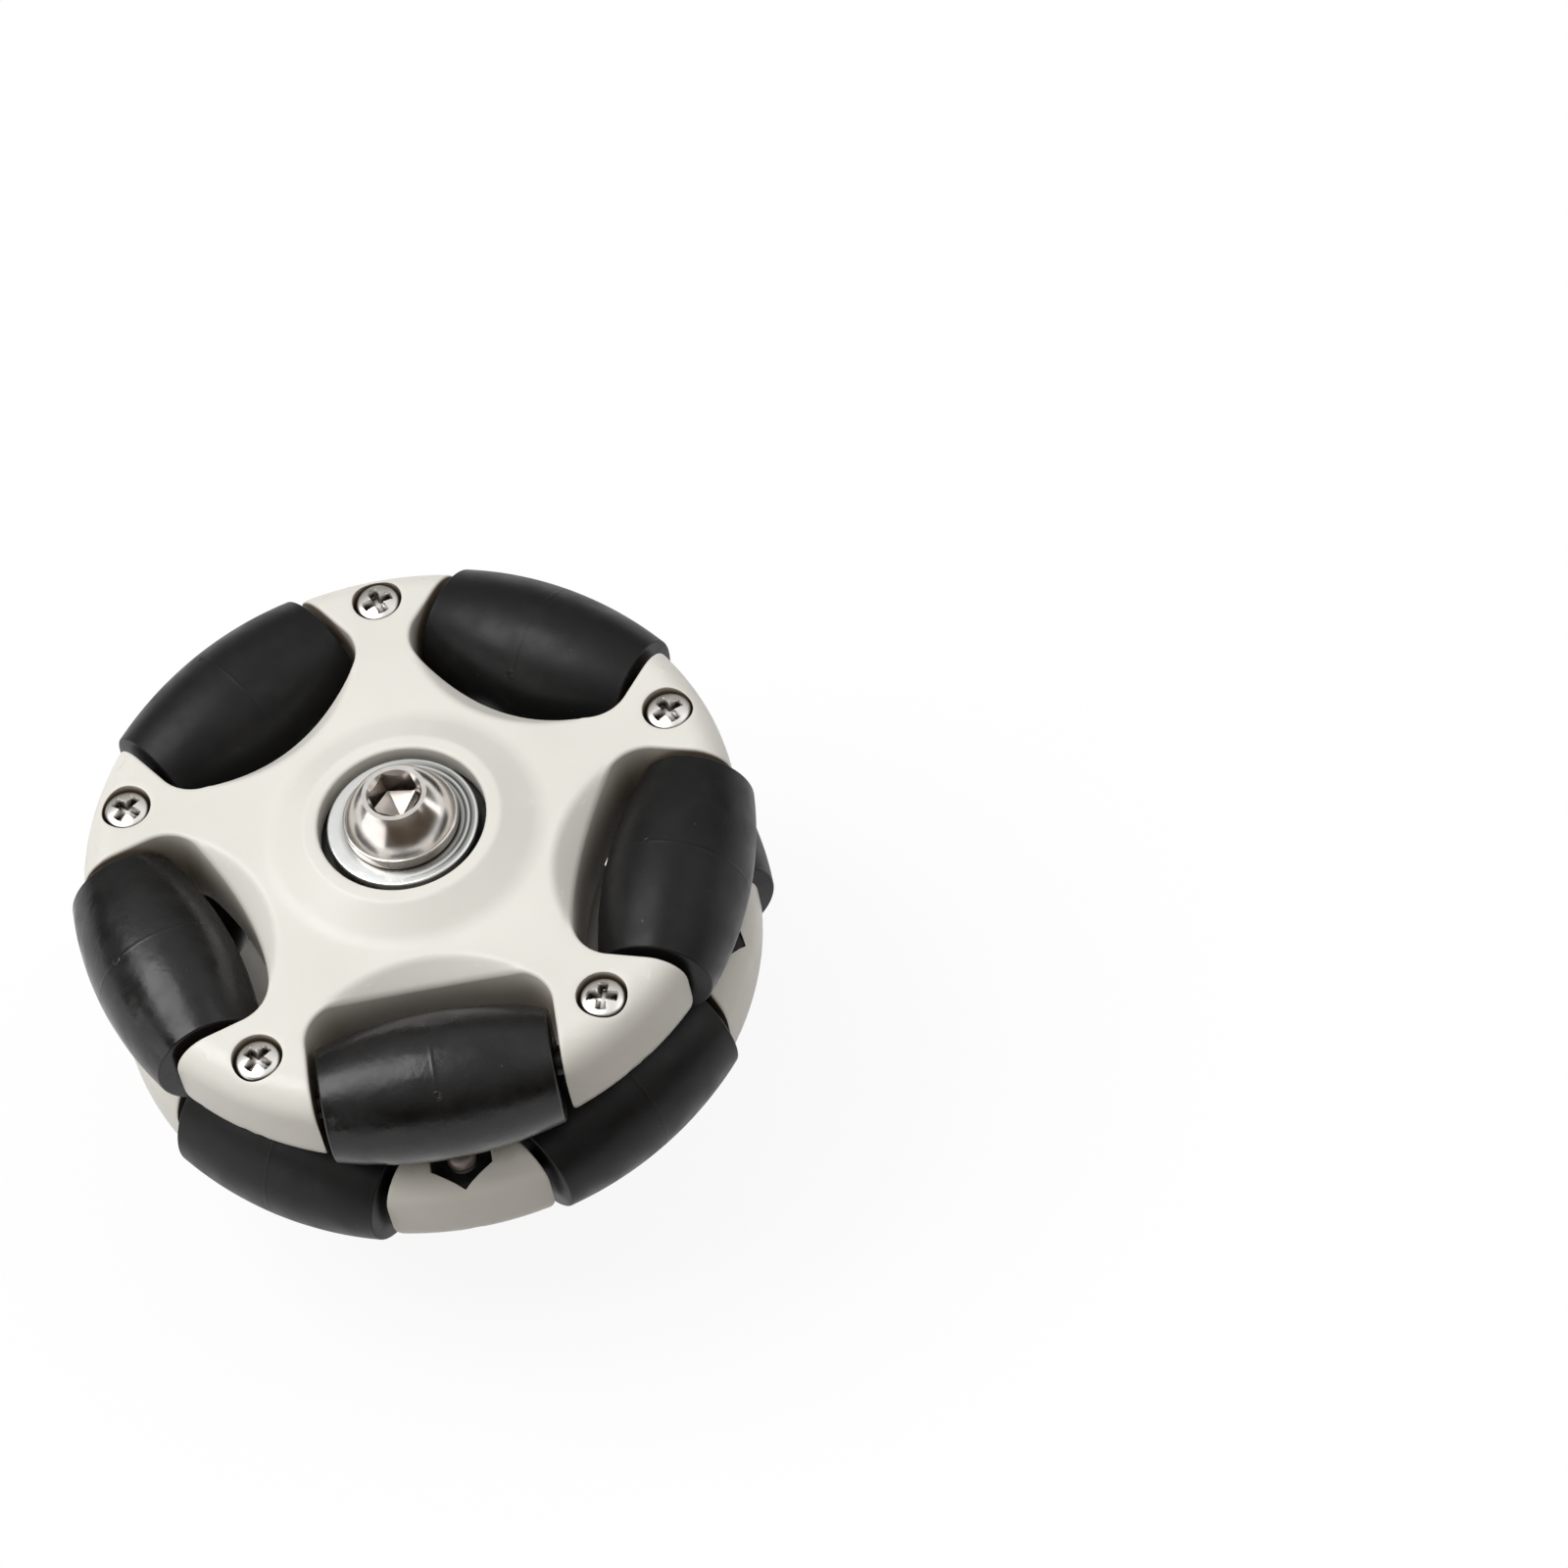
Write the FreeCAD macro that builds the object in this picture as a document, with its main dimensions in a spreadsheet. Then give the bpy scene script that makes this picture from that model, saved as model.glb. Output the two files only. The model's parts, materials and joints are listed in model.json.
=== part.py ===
import FreeCAD, Part
import math
import operator
import os
from types import SimpleNamespace

import Sketcher

# Double-row roller wheel for a folding bike. Lengths are in millimetres, angles in degrees.
# The axle runs along Z with the bolt head up. The origin is on the axle, at the end of the lock nut,
# where a bracket on the bolt's free end would seat.
SIZES = {
    # whole wheel
    "wheel_radius": 29.0,
    "row_offset": 6.1,
    # barrel rollers
    "roller_radius": 6.15,
    "roller_end_radius": 4.75,
    "roller_round": 0.2,
    # roller pins
    "pin_radius": 1.0,
    "pin_bite": 1.85,
    "pin_chamfer": 0.2,
    "pin_running_fit": 0.03,
    "pin_seat_fit": 0.01,
    "pin_end_gap": 0.1,
    # half shells
    "shell_face": 4.55,
    "rim_inset": 1.1,
    "rim_round": 2.9,
    "boss_height": 6.35,
    "boss_lip": 1.25,
    "boss_foot_gap": 1.4,
    "boss_foot_run": 0.655,
    "boss_top_round": 0.6,
    "recess_gap": 0.55,
    "recess_round": 0.3,
    "hub_gap": 1.5,
    "hub_bore_radius": 7.15,
    # roller windows and the bevelled scoop on their hub side
    "arm_half_width": 5.06,
    "window_gap": 1.8,
    "window_side_gap": 0.7,
    "window_arc": 27.0,
    "window_corner": 3.6,
    "scoop_reach": 1.9,
    "scoop_radius": 12.8,
    "scoop_depth": 2.6,
    "scoop_sweep": 88.0,
    # pegs that key the two rows together
    "peg_radius": 1.2,
    "peg_height": 1.2,
    "peg_fit": 0.1,
    # shell screws and nuts
    "screw_inset": 3.4,
    "screw_radius": 1.25,
    "screw_length": 7.0,
    "screw_hole_fit": 0.1,
    "screw_head_radius": 2.05,
    "screw_head_edge": 0.7,
    "screw_head_height": 1.55,
    "screw_head_fit": 0.1,
    "screw_head_sunk": 0.1,
    "cross_width": 0.75,
    "cross_reach": 1.2,
    "cross_depth": 0.8,
    "nut_flats": 5.0,
    "nut_thickness": 2.0,
    "nut_depth": 1.2,
    "nut_pocket_fit": 0.1,
    "thread_fit": 0.02,
    # ball bearings
    "bearing_bore_fit": 0.03,
    "bearing_radius": 9.5,
    "bearing_width": 6.0,
    "bearing_shift": 1.2,
    "bearing_seat_fit": 0.02,
    "ball_circle": 6.15,
    "ball_radius": 1.75,
    "race_land": 1.15,
    "race_fit": 0.03,
    "cage_thickness": 0.7,
    "cage_width": 4.3,
    "cage_fit": 0.06,
    "shield_step": 0.4,
    "shield_thickness": 0.3,
    "shield_sunk": 0.2,
    "shield_gap": 0.2,
    "shield_fit": 0.01,
    # axle hardware
    "bolt_radius": 3.0,
    "bolt_length": 40.0,
    "bolt_chamfer": 0.8,
    "thread_depth": 0.325,
    "head_radius": 4.9,
    "head_lip": 1.15,
    "head_dome_radius": 4.68,
    "head_top_radius": 2.75,
    "head_height": 4.2,
    "head_dome_arc": 9.2,
    "socket_flats": 4.0,
    "socket_depth": 2.6,
    "socket_chamfer_radius": 2.35,
    "washer_radius": 6.45,
    "washer_bore_fit": 0.2,
    "washer_thickness": 1.6,
    "washer_chamfer": 0.25,
    "spacer_radius": 4.4,
    "spacer_bore_fit": 0.1,
    "lock_nut_height": 9.1,
    "lock_nut_flats": 10.0,
    "lock_nut_hex_top": 6.2,
    "lock_nut_hex_chamfer": 0.6,
    "flange_radius": 6.6,
    "flange_edge": 0.9,
    "flange_rise": 2.2,
    "collar_wall": 0.45,
    "collar_round": 0.7,
    "collar_flat": 0.25,
    "collar_lip": 0.3,
    "insert_radius": 4.0,
    "insert_seat": 6.7,
    "insert_fit": 0.02,
}
ROLLERS_PER_ROW = 5
BALLS_PER_BEARING = 7
CUT_MARGIN = 1.0
HEX_SIDES = 6
FULL_TURN = 360
HALF_TURN = 180
QUARTER_TURN = 90
BOLT_TURN = 20
SAME_PLACE = 1e-6
SHARE_DIGITS = 12
THROUGH_ALL = 1

X_AXIS = FreeCAD.Vector(1, 0, 0)
Z_AXIS = FreeCAD.Vector(0, 0, 1)


class Size:
    """A length and the sheet formula that gives it."""

    OPERATIONS = {"+": operator.add, "-": operator.sub, "*": operator.mul, "/": operator.truediv}

    def __init__(self, value, formula=None):
        self.value = float(value)
        self.formula = formula or repr(float(value))

    @classmethod
    def of(cls, number):
        return number if isinstance(number, cls) else cls(number)

    @classmethod
    def join(cls, left, sign, right):
        left, right = cls.of(left), cls.of(right)
        value = cls.OPERATIONS[sign](left.value, right.value)
        return cls(value, f"({left.formula} {sign} {right.formula})")

    def __add__(self, other):
        return Size.join(self, "+", other)

    def __sub__(self, other):
        return Size.join(self, "-", other)

    def __rsub__(self, other):
        return Size.join(other, "-", self)

    def __mul__(self, other):
        return Size.join(self, "*", other)

    def __truediv__(self, other):
        return Size.join(self, "/", other)

    def __neg__(self):
        return Size.join(0, "-", self)

    def root(self):
        return Size(math.sqrt(self.value), f"sqrt({self.formula})")

    def or_wider(self, other):
        return Size(max(self.value, other.value), f"max({self.formula}; {other.formula})")


def make_sheet(doc):
    """The spreadsheet of driving sizes, and the same sizes for use in this script."""
    sheet = doc.addObject("Spreadsheet::Sheet", "Sizes")
    for row, (name, value) in enumerate(SIZES.items(), start=1):
        sheet.set(f"A{row}", name)
        sheet.set(f"B{row}", str(value))
        sheet.setAlias(f"B{row}", name)
    doc.recompute()
    return SimpleNamespace(**{name: Size(value, f"Sizes.{name}") for name, value in SIZES.items()})


doc = FreeCAD.newDocument("RollerWheel")
s = make_sheet(doc)
ZERO = Size(0)

# Sizes and places worked out from the driving sizes
HALF_STEP = math.pi / ROLLERS_PER_ROW
roller_circle = s.wheel_radius - s.roller_radius
rim_radius = s.wheel_radius - s.rim_inset
screw_circle = rim_radius - s.screw_inset
window_half_width = (roller_circle * math.sin(HALF_STEP) - s.arm_half_width) / math.cos(HALF_STEP)
window_inner = roller_circle - s.roller_radius - s.window_gap
scoop_inner = window_inner - s.scoop_reach
roller_half = window_half_width - s.window_side_gap
pin_half = window_half_width + s.pin_bite
recess_radius = s.flange_radius.or_wider(s.washer_radius) + s.recess_gap
boss_top_radius = recess_radius + s.boss_lip
boss_base_radius = scoop_inner - s.boss_foot_gap
boss_rise = s.boss_height - s.shell_face
boss_run = boss_base_radius - boss_top_radius
boss_flank = (boss_rise * boss_rise + boss_run * boss_run).root()
boss_foot_round = s.boss_foot_run * boss_rise / (boss_flank - boss_run)
hub_radius = window_inner - s.hub_gap
peg_circle = (s.hub_bore_radius + hub_radius) / 2
thread_radius = s.bolt_radius - s.thread_depth
thread_bore = thread_radius + s.thread_fit
collar_radius = s.insert_radius + s.collar_wall
collar_top = collar_radius - s.collar_round
inner_ring_radius = s.ball_circle - s.race_land
outer_ring_bore = s.ball_circle + s.race_land
shield_radius = outer_ring_bore + s.shield_step
bearing_face = s.bearing_shift + s.bearing_width / 2
bearing_back = s.bearing_width / 2 - s.bearing_shift
bearing_seat_radius = s.bearing_radius + s.bearing_seat_fit
screw_seat = s.shell_face - s.screw_head_sunk - s.screw_head_height
wheel_middle = s.row_offset + bearing_face + s.lock_nut_height
front_row = wheel_middle + s.row_offset
rear_row = wheel_middle - s.row_offset


def bind(thing, name, size):
    """Ties a property to the sheet."""
    thing.setExpression(name, size.formula)


def new_body(label):
    body = doc.addObject("PartDesign::Body", label)
    body.Label = label
    return body


def origin_feature(body, role):
    return next(item for item in body.Origin.OriginFeatures if item.Role == role)


def new_sketch(body, name, plane, height=None):
    """A sketch on one of the body's own planes, raised by height along the plane's normal."""
    sketch = body.newObject("Sketcher::SketchObject", name)
    sketch.AttachmentSupport = [(origin_feature(body, plane), "")]
    sketch.MapMode = "FlatFace"
    if height is not None:
        bind(sketch, "AttachmentOffset.Base.z", height)
    return sketch


def constrain(sketch, kind, *parts):
    """Adds a dimension whose last part is a size from the sheet."""
    *where, size = parts
    index = sketch.addConstraint(Sketcher.Constraint(kind, *where, size.value))
    sketch.setExpression(f"Constraints[{index}]", size.formula)


def tie_point(sketch, geometry, end, point):
    """Holds one point of a sketch at a place given by two sizes."""
    for kind, axis, size in (("DistanceX", -2, point[0]), ("DistanceY", -1, point[1])):
        if size is ZERO:
            sketch.addConstraint(Sketcher.Constraint("PointOnObject", geometry, end, axis))
        else:
            constrain(sketch, kind, -1, 1, geometry, end, size)


def arc_between(start, end, radius):
    """The outward-bulging arc from start to end of an outline that runs counter-clockwise."""
    half_chord = (end - start) / 2
    rise = math.sqrt(radius ** 2 - half_chord.Length ** 2)
    inward = FreeCAD.Vector(-half_chord.y, half_chord.x, 0).normalize()
    centre = start + half_chord + inward * rise
    angles = [math.atan2(point.y - centre.y, point.x - centre.x) for point in (start, end)]
    return Part.ArcOfCircle(Part.Circle(centre, Z_AXIS, radius), *angles)


def outline(sketch, points, arcs=None):
    """A closed outline, counter-clockwise; arcs maps the index of a side to its radius."""
    arcs = arcs or {}
    count = len(points)
    places = [FreeCAD.Vector(x.value, y.value, 0) for x, y in points]
    sides = []
    for index in range(count):
        start, end = places[index], places[(index + 1) % count]
        if index in arcs:
            side = arc_between(start, end, arcs[index].value)
        else:
            side = Part.LineSegment(start, end)
        sides.append(sketch.addGeometry(side, False))
    for index, side in enumerate(sides):
        sketch.addConstraint(Sketcher.Constraint("Coincident", side, 2, sides[(index + 1) % count], 1))
        tie_point(sketch, side, 1, points[index])
    for index, radius in arcs.items():
        constrain(sketch, "Radius", sides[index], radius)


def circle(sketch, centre, radius):
    place = FreeCAD.Vector(centre[0].value, centre[1].value, 0)
    geometry = sketch.addGeometry(Part.Circle(place, Z_AXIS, radius.value), False)
    tie_point(sketch, geometry, 3, centre)
    constrain(sketch, "Radius", geometry, radius)


def hexagon(sketch, centre, flats):
    """A hexagon with a corner on the sketch's vertical axis."""
    corner = flats / math.sqrt(3)
    points = []
    for index in range(HEX_SIDES):
        angle = math.radians(QUARTER_TURN + index * FULL_TURN / HEX_SIDES)
        x_share = round(math.cos(angle), SHARE_DIGITS)
        y_share = round(math.sin(angle), SHARE_DIGITS)
        points.append((centre[0] + corner * x_share, centre[1] + corner * y_share))
    outline(sketch, points)


def axis_line(sketch, offset):
    """A construction line parallel to the sketch's vertical axis, to turn a profile about."""
    low = FreeCAD.Vector(offset.value, -CUT_MARGIN, 0)
    high = FreeCAD.Vector(offset.value, CUT_MARGIN, 0)
    line = sketch.addGeometry(Part.LineSegment(low, high), True)
    tie_point(sketch, line, 1, (offset, Size(-CUT_MARGIN)))
    tie_point(sketch, line, 2, (offset, Size(CUT_MARGIN)))


def feature(body, kind, name, sketch):
    item = body.newObject(f"PartDesign::{kind}", name)
    item.Profile = sketch
    return item


def turn(body, kind, name, sketch, axis="V_Axis", sweep=None):
    """A Revolution or Groove about an axis of its sketch."""
    item = feature(body, kind, name, sketch)
    item.ReferenceAxis = (sketch, [axis])
    item.Angle = FULL_TURN
    if sweep is not None:
        item.Midplane = True
        bind(item, "Angle", sweep)
    return item


def turned(label, plane, points, arcs=None, axis="V_Axis"):
    """A body made by turning one profile, with its revolution."""
    body = new_body(label)
    sketch = new_sketch(body, "Profile", plane)
    outline(sketch, points, arcs)
    return body, turn(body, "Revolution", "Turned", sketch, axis)


def extrude(body, kind, name, sketch, length=None, both_ways=False, reverse=False):
    """A Pad or Pocket; a Pocket with no length goes right through."""
    item = feature(body, kind, name, sketch)
    item.Midplane = both_ways
    item.Reversed = reverse
    if length is None:
        item.Type = THROUGH_ALL
    else:
        bind(item, "Length", length)
    return item


def repeat(body, originals, count):
    """Copies features round the Z axis and makes the result the body's shape."""
    pattern = body.newObject("PartDesign::PolarPattern", "Repeat")
    pattern.Originals = originals
    pattern.Axis = (origin_feature(body, "Z_Axis"), [""])
    pattern.Angle = FULL_TURN
    pattern.Occurrences = count
    body.Tip = pattern
    return pattern


def ring_edges(base, radius, height):
    """Names of the circular edges of a feature that have a radius and lie at a height."""
    doc.recompute()
    names = []
    for number, edge in enumerate(base.Shape.Edges, start=1):
        if not isinstance(edge.Curve, Part.Circle):
            continue
        off_radius = abs(edge.Curve.Radius - radius.value)
        off_height = abs(edge.Curve.Center.z - height.value)
        if max(off_radius, off_height) < SAME_PLACE:
            names.append(f"Edge{number}")
    return names


def round_edges(body, name, base, edges, radius):
    item = body.newObject("PartDesign::Fillet", name)
    item.Base = (base, edges)
    bind(item, "Radius", radius)
    return item


def place(piece, height, flipped=False, spin=0.0, reach=None):
    """Puts a piece on the axle, or a distance out from it at an angle; flipped turns it over for the rear row."""
    rotation = FreeCAD.Rotation(Z_AXIS, spin)
    if flipped:
        rotation = FreeCAD.Rotation(X_AXIS, HALF_TURN) * rotation
    piece.Placement = FreeCAD.Placement(FreeCAD.Vector(), rotation)
    bind(piece, "Placement.Base.z", height)
    if reach is not None:
        away = rotation.multVec(FreeCAD.Vector(0, -1, 0))
        bind(piece, "Placement.Base.x", reach * round(away.x, SHARE_DIGITS))
        bind(piece, "Placement.Base.y", reach * round(away.y, SHARE_DIGITS))
    return piece


def rounded_corner(half, arc, corner):
    """Where a corner radius meets a straight side at half and an arc, as heights above the arc's centre.

    Gives the corner's height on the side, and the place across and up where it runs into the arc.
    """
    across = half - corner
    reach = arc - corner
    rise = (reach * reach - across * across).root()
    share = arc / reach
    return rise, across * share, rise * share


def window_cut(body):
    """The opening for one roller, through the whole shell on its -Y side."""
    arc_centre = window_inner + s.window_arc
    corner_rise, meet_x, meet_rise = rounded_corner(window_half_width, s.window_arc, s.window_corner)
    corner_y = arc_centre - corner_rise
    meet_y = arc_centre - meet_rise
    outside = rim_radius + CUT_MARGIN
    points = [
        (-window_half_width, -outside),
        (window_half_width, -outside),
        (window_half_width, -corner_y),
        (meet_x, -meet_y),
        (-meet_x, -meet_y),
        (-window_half_width, -corner_y),
    ]
    sketch = new_sketch(body, "WindowOutline", "XY_Plane")
    outline(sketch, points, {2: s.window_corner, 3: s.window_arc, 4: s.window_corner})
    return extrude(body, "Pocket", "Window", sketch, both_ways=True)


def pin_slot_cut(body):
    """The half-round seats of one pin, either side of its window."""
    sketch = new_sketch(body, "SlotOutline", "YZ_Plane")
    circle(sketch, (-roller_circle, ZERO), s.pin_radius + s.pin_seat_fit)
    length = (pin_half + s.pin_end_gap) * 2
    return extrude(body, "Pocket", "PinSlot", sketch, length, both_ways=True)


def scoop_cut(body):
    """The crescent bevel from the face down into the hub side of one window."""
    centre = scoop_inner + s.scoop_radius
    bottom = s.shell_face - s.scoop_depth
    top = s.shell_face + CUT_MARGIN
    points = [
        (-centre, top),
        (-centre, bottom),
        (-(scoop_inner + s.scoop_depth), bottom),
        (-(scoop_inner - CUT_MARGIN), top),
    ]
    sketch = new_sketch(body, "ScoopOutline", "YZ_Plane")
    outline(sketch, points)
    axis_line(sketch, -centre)
    return turn(body, "Groove", "Scoop", sketch, "Axis0", s.scoop_sweep)


def screw_hole_cut(body):
    """A counterbored screw hole in the arm on the +Y side."""
    hole = screw_circle + s.screw_radius + s.screw_hole_fit
    counterbore = screw_circle + s.screw_head_radius + s.screw_head_fit
    top = s.shell_face + CUT_MARGIN
    low = Size(-CUT_MARGIN)
    points = [
        (screw_circle, low),
        (hole, low),
        (hole, screw_seat),
        (counterbore, screw_seat),
        (counterbore, top),
        (screw_circle, top),
    ]
    sketch = new_sketch(body, "HoleOutline", "YZ_Plane")
    outline(sketch, points)
    axis_line(sketch, screw_circle)
    return turn(body, "Groove", "ScrewHole", sketch, "Axis0")


def outer_shell(label):
    """The visible half of a row: five arms, a raised boss with the washer recess, and half the bearing seat."""
    points = [
        (recess_radius, bearing_face),
        (bearing_seat_radius, bearing_face),
        (bearing_seat_radius, ZERO),
        (rim_radius, ZERO),
        (rim_radius, s.shell_face),
        (boss_base_radius, s.shell_face),
        (boss_top_radius, s.boss_height),
        (recess_radius, s.boss_height),
    ]
    body, base = turned(label, "XZ_Plane", points)
    for name, radius, height, rounding in (
        ("RimRound", rim_radius, s.shell_face, s.rim_round),
        ("BossFoot", boss_base_radius, s.shell_face, boss_foot_round),
        ("BossEdge", boss_top_radius, s.boss_height, s.boss_top_round),
        ("RecessEdge", recess_radius, s.boss_height, s.recess_round),
    ):
        base = round_edges(body, name, base, ring_edges(base, radius, height), rounding)
    cuts = [window_cut(body), scoop_cut(body), pin_slot_cut(body), screw_hole_cut(body)]
    repeat(body, cuts, ROLLERS_PER_ROW)
    return body


def nut_pocket_cut(body):
    """A hex pocket for one screw's nut, open on the inner face of the arm."""
    sketch = new_sketch(body, "NutOutline", "XY_Plane", -s.nut_depth)
    hexagon(sketch, (ZERO, screw_circle), s.nut_flats + s.nut_pocket_fit * 2)
    return extrude(body, "Pocket", "NutPocket", sketch)


def inner_screw_hole_cut(body):
    sketch = new_sketch(body, "HoleOutline", "XY_Plane")
    circle(sketch, (ZERO, screw_circle), s.screw_radius + s.screw_hole_fit)
    return extrude(body, "Pocket", "ScrewHole", sketch, both_ways=True)


def key_peg(body):
    """A peg that enters a socket of the other row's hub."""
    sketch = new_sketch(body, "PegOutline", "XY_Plane", -s.row_offset)
    circle(sketch, (ZERO, peg_circle), s.peg_radius)
    return extrude(body, "Pad", "Peg", sketch, s.peg_height, reverse=True)


def key_socket_cut(body):
    sketch = new_sketch(body, "SocketOutline", "XY_Plane", s.peg_height + s.peg_fit - s.row_offset)
    circle(sketch, (ZERO, -peg_circle), s.peg_radius + s.peg_fit)
    return extrude(body, "Pocket", "Socket", sketch)


def inner_shell(label):
    """The half of a row that faces the other row: arms, nut pockets, hub and the bearing's shoulder."""
    points = [
        (s.hub_bore_radius, -s.row_offset),
        (hub_radius, -s.row_offset),
        (hub_radius, -s.shell_face),
        (rim_radius, -s.shell_face),
        (rim_radius, ZERO),
        (bearing_seat_radius, ZERO),
        (bearing_seat_radius, -bearing_back),
        (s.hub_bore_radius, -bearing_back),
    ]
    body, base = turned(label, "XZ_Plane", points)
    round_edges(body, "RimRound", base, ring_edges(base, rim_radius, -s.shell_face), s.rim_round)
    cuts = [window_cut(body), pin_slot_cut(body), inner_screw_hole_cut(body), nut_pocket_cut(body)]
    keys = [key_socket_cut(body), key_peg(body)]
    repeat(body, cuts + keys, ROLLERS_PER_ROW)
    return body


def roller(label):
    """A barrel roller, bored for its pin, with its axis along X."""
    drop = s.roller_radius - s.roller_end_radius
    crown = (roller_half * roller_half + drop * drop) / (drop * 2)
    crown_centre = s.roller_radius - crown
    end_rise, meet_x, meet_rise = rounded_corner(roller_half, crown, s.roller_round)
    bore = s.pin_radius + s.pin_running_fit
    points = [
        (-roller_half, bore),
        (roller_half, bore),
        (roller_half, crown_centre + end_rise),
        (meet_x, crown_centre + meet_rise),
        (-meet_x, crown_centre + meet_rise),
        (-roller_half, crown_centre + end_rise),
    ]
    arcs = {2: s.roller_round, 3: crown, 4: s.roller_round}
    return turned(label, "XZ_Plane", points, arcs, "H_Axis")[0]


def roller_pin(label):
    """A plain steel pin with chamfered ends, with its axis along X."""
    points = [
        (-pin_half, ZERO),
        (pin_half, ZERO),
        (pin_half, s.pin_radius - s.pin_chamfer),
        (pin_half - s.pin_chamfer, s.pin_radius),
        (s.pin_chamfer - pin_half, s.pin_radius),
        (-pin_half, s.pin_radius - s.pin_chamfer),
    ]
    return turned(label, "XZ_Plane", points, axis="H_Axis")[0]


def shell_screws(label):
    """The five pan-head cross-recess screws of a row."""
    crown = s.screw_head_height - s.screw_head_edge
    dome = (s.screw_head_radius * s.screw_head_radius + crown * crown) / (crown * 2)
    shank = screw_circle + s.screw_radius
    head = screw_circle + s.screw_head_radius
    tip = screw_seat - s.screw_length
    points = [
        (screw_circle, tip),
        (shank, tip),
        (shank, screw_seat),
        (head, screw_seat),
        (head, screw_seat + s.screw_head_edge),
        (screw_circle, screw_seat + s.screw_head_height),
    ]
    body = new_body(label)
    sketch = new_sketch(body, "Profile", "YZ_Plane")
    outline(sketch, points, {4: dome})
    axis_line(sketch, screw_circle)
    screw = turn(body, "Revolution", "Screw", sketch, "Axis0")
    recess_floor = screw_seat + s.screw_head_height - s.cross_depth
    sketch = new_sketch(body, "CrossOutline", "XY_Plane", recess_floor)
    half = s.cross_width / 2
    corners = [(half, half), (half, s.cross_reach), (-half, s.cross_reach)]
    points = []
    for quarter in range(4):
        for x, y in corners:
            for _ in range(quarter):
                x, y = -y, x
            points.append((x, screw_circle + y))
    outline(sketch, points)
    recess = extrude(body, "Pocket", "CrossRecess", sketch, s.cross_depth, reverse=True)
    repeat(body, [screw, recess], ROLLERS_PER_ROW)
    return body


def shell_nuts(label):
    """The five hex nuts of a row, on the shell screws."""
    body = new_body(label)
    sketch = new_sketch(body, "Outline", "XY_Plane", -s.nut_depth)
    hexagon(sketch, (ZERO, screw_circle), s.nut_flats)
    circle(sketch, (ZERO, screw_circle), s.screw_radius + s.thread_fit)
    nut = extrude(body, "Pad", "Nut", sketch, s.nut_thickness, reverse=True)
    repeat(body, [nut], ROLLERS_PER_ROW)
    return body


def tube(label, bore, radius, half_width):
    """A plain ring, centred on its own middle."""
    points = [(bore, -half_width), (radius, -half_width), (radius, half_width), (bore, half_width)]
    return turned(label, "XZ_Plane", points)


def cut_raceway(body):
    sketch = new_sketch(body, "RaceOutline", "XZ_Plane")
    circle(sketch, (s.ball_circle, ZERO), s.ball_radius + s.race_fit)
    turn(body, "Groove", "Raceway", sketch)


def bearing_inner_ring(label):
    body, _ = tube(label, s.bolt_radius + s.bearing_bore_fit, inner_ring_radius, s.bearing_width / 2)
    cut_raceway(body)
    return body


def bearing_outer_ring(label):
    """The outer ring, stepped at both faces to seat the shields."""
    half = s.bearing_width / 2
    step = half - s.shield_sunk - s.shield_thickness
    shield_seat = shield_radius + s.shield_fit
    points = [
        (outer_ring_bore, -step),
        (shield_seat, -step),
        (shield_seat, -half),
        (s.bearing_radius, -half),
        (s.bearing_radius, half),
        (shield_seat, half),
        (shield_seat, step),
        (outer_ring_bore, step),
    ]
    body, _ = turned(label, "XZ_Plane", points)
    cut_raceway(body)
    return body


def bearing_balls(label):
    """The ring of balls, each a half disc turned about its own axis."""
    body = new_body(label)
    sketch = new_sketch(body, "HalfDisc", "XZ_Plane")
    centre = FreeCAD.Vector(s.ball_circle.value, 0, 0)
    pole = FreeCAD.Vector(0, s.ball_radius.value, 0)
    half_turn = Part.ArcOfCircle(Part.Circle(centre, Z_AXIS, s.ball_radius.value), -math.pi / 2, math.pi / 2)
    rim = sketch.addGeometry(half_turn, False)
    chord = sketch.addGeometry(Part.LineSegment(centre + pole, centre - pole), False)
    sketch.addConstraint(Sketcher.Constraint("Coincident", rim, 2, chord, 1))
    sketch.addConstraint(Sketcher.Constraint("Coincident", rim, 1, chord, 2))
    tie_point(sketch, rim, 3, (s.ball_circle, ZERO))
    constrain(sketch, "Radius", rim, s.ball_radius)
    for end in (1, 2):
        constrain(sketch, "DistanceX", -1, 1, rim, end, s.ball_circle)
    axis_line(sketch, s.ball_circle)
    ball = turn(body, "Revolution", "Ball", sketch, "Axis0")
    repeat(body, [ball], BALLS_PER_BEARING)
    return body


def bearing_cage(label):
    """A ring with a round pocket for each ball."""
    half = s.cage_thickness / 2
    body, _ = tube(label, s.ball_circle - half, s.ball_circle + half, s.cage_width / 2)
    sketch = new_sketch(body, "PocketOutline", "YZ_Plane")
    circle(sketch, (ZERO, ZERO), s.ball_radius + s.cage_fit)
    pocket = extrude(body, "Pocket", "BallPocket", sketch, reverse=True)
    repeat(body, [pocket], BALLS_PER_BEARING)
    return body


def bearing_shield(label):
    return tube(label, inner_ring_radius + s.shield_gap, shield_radius, s.shield_thickness / 2)[0]


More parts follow.
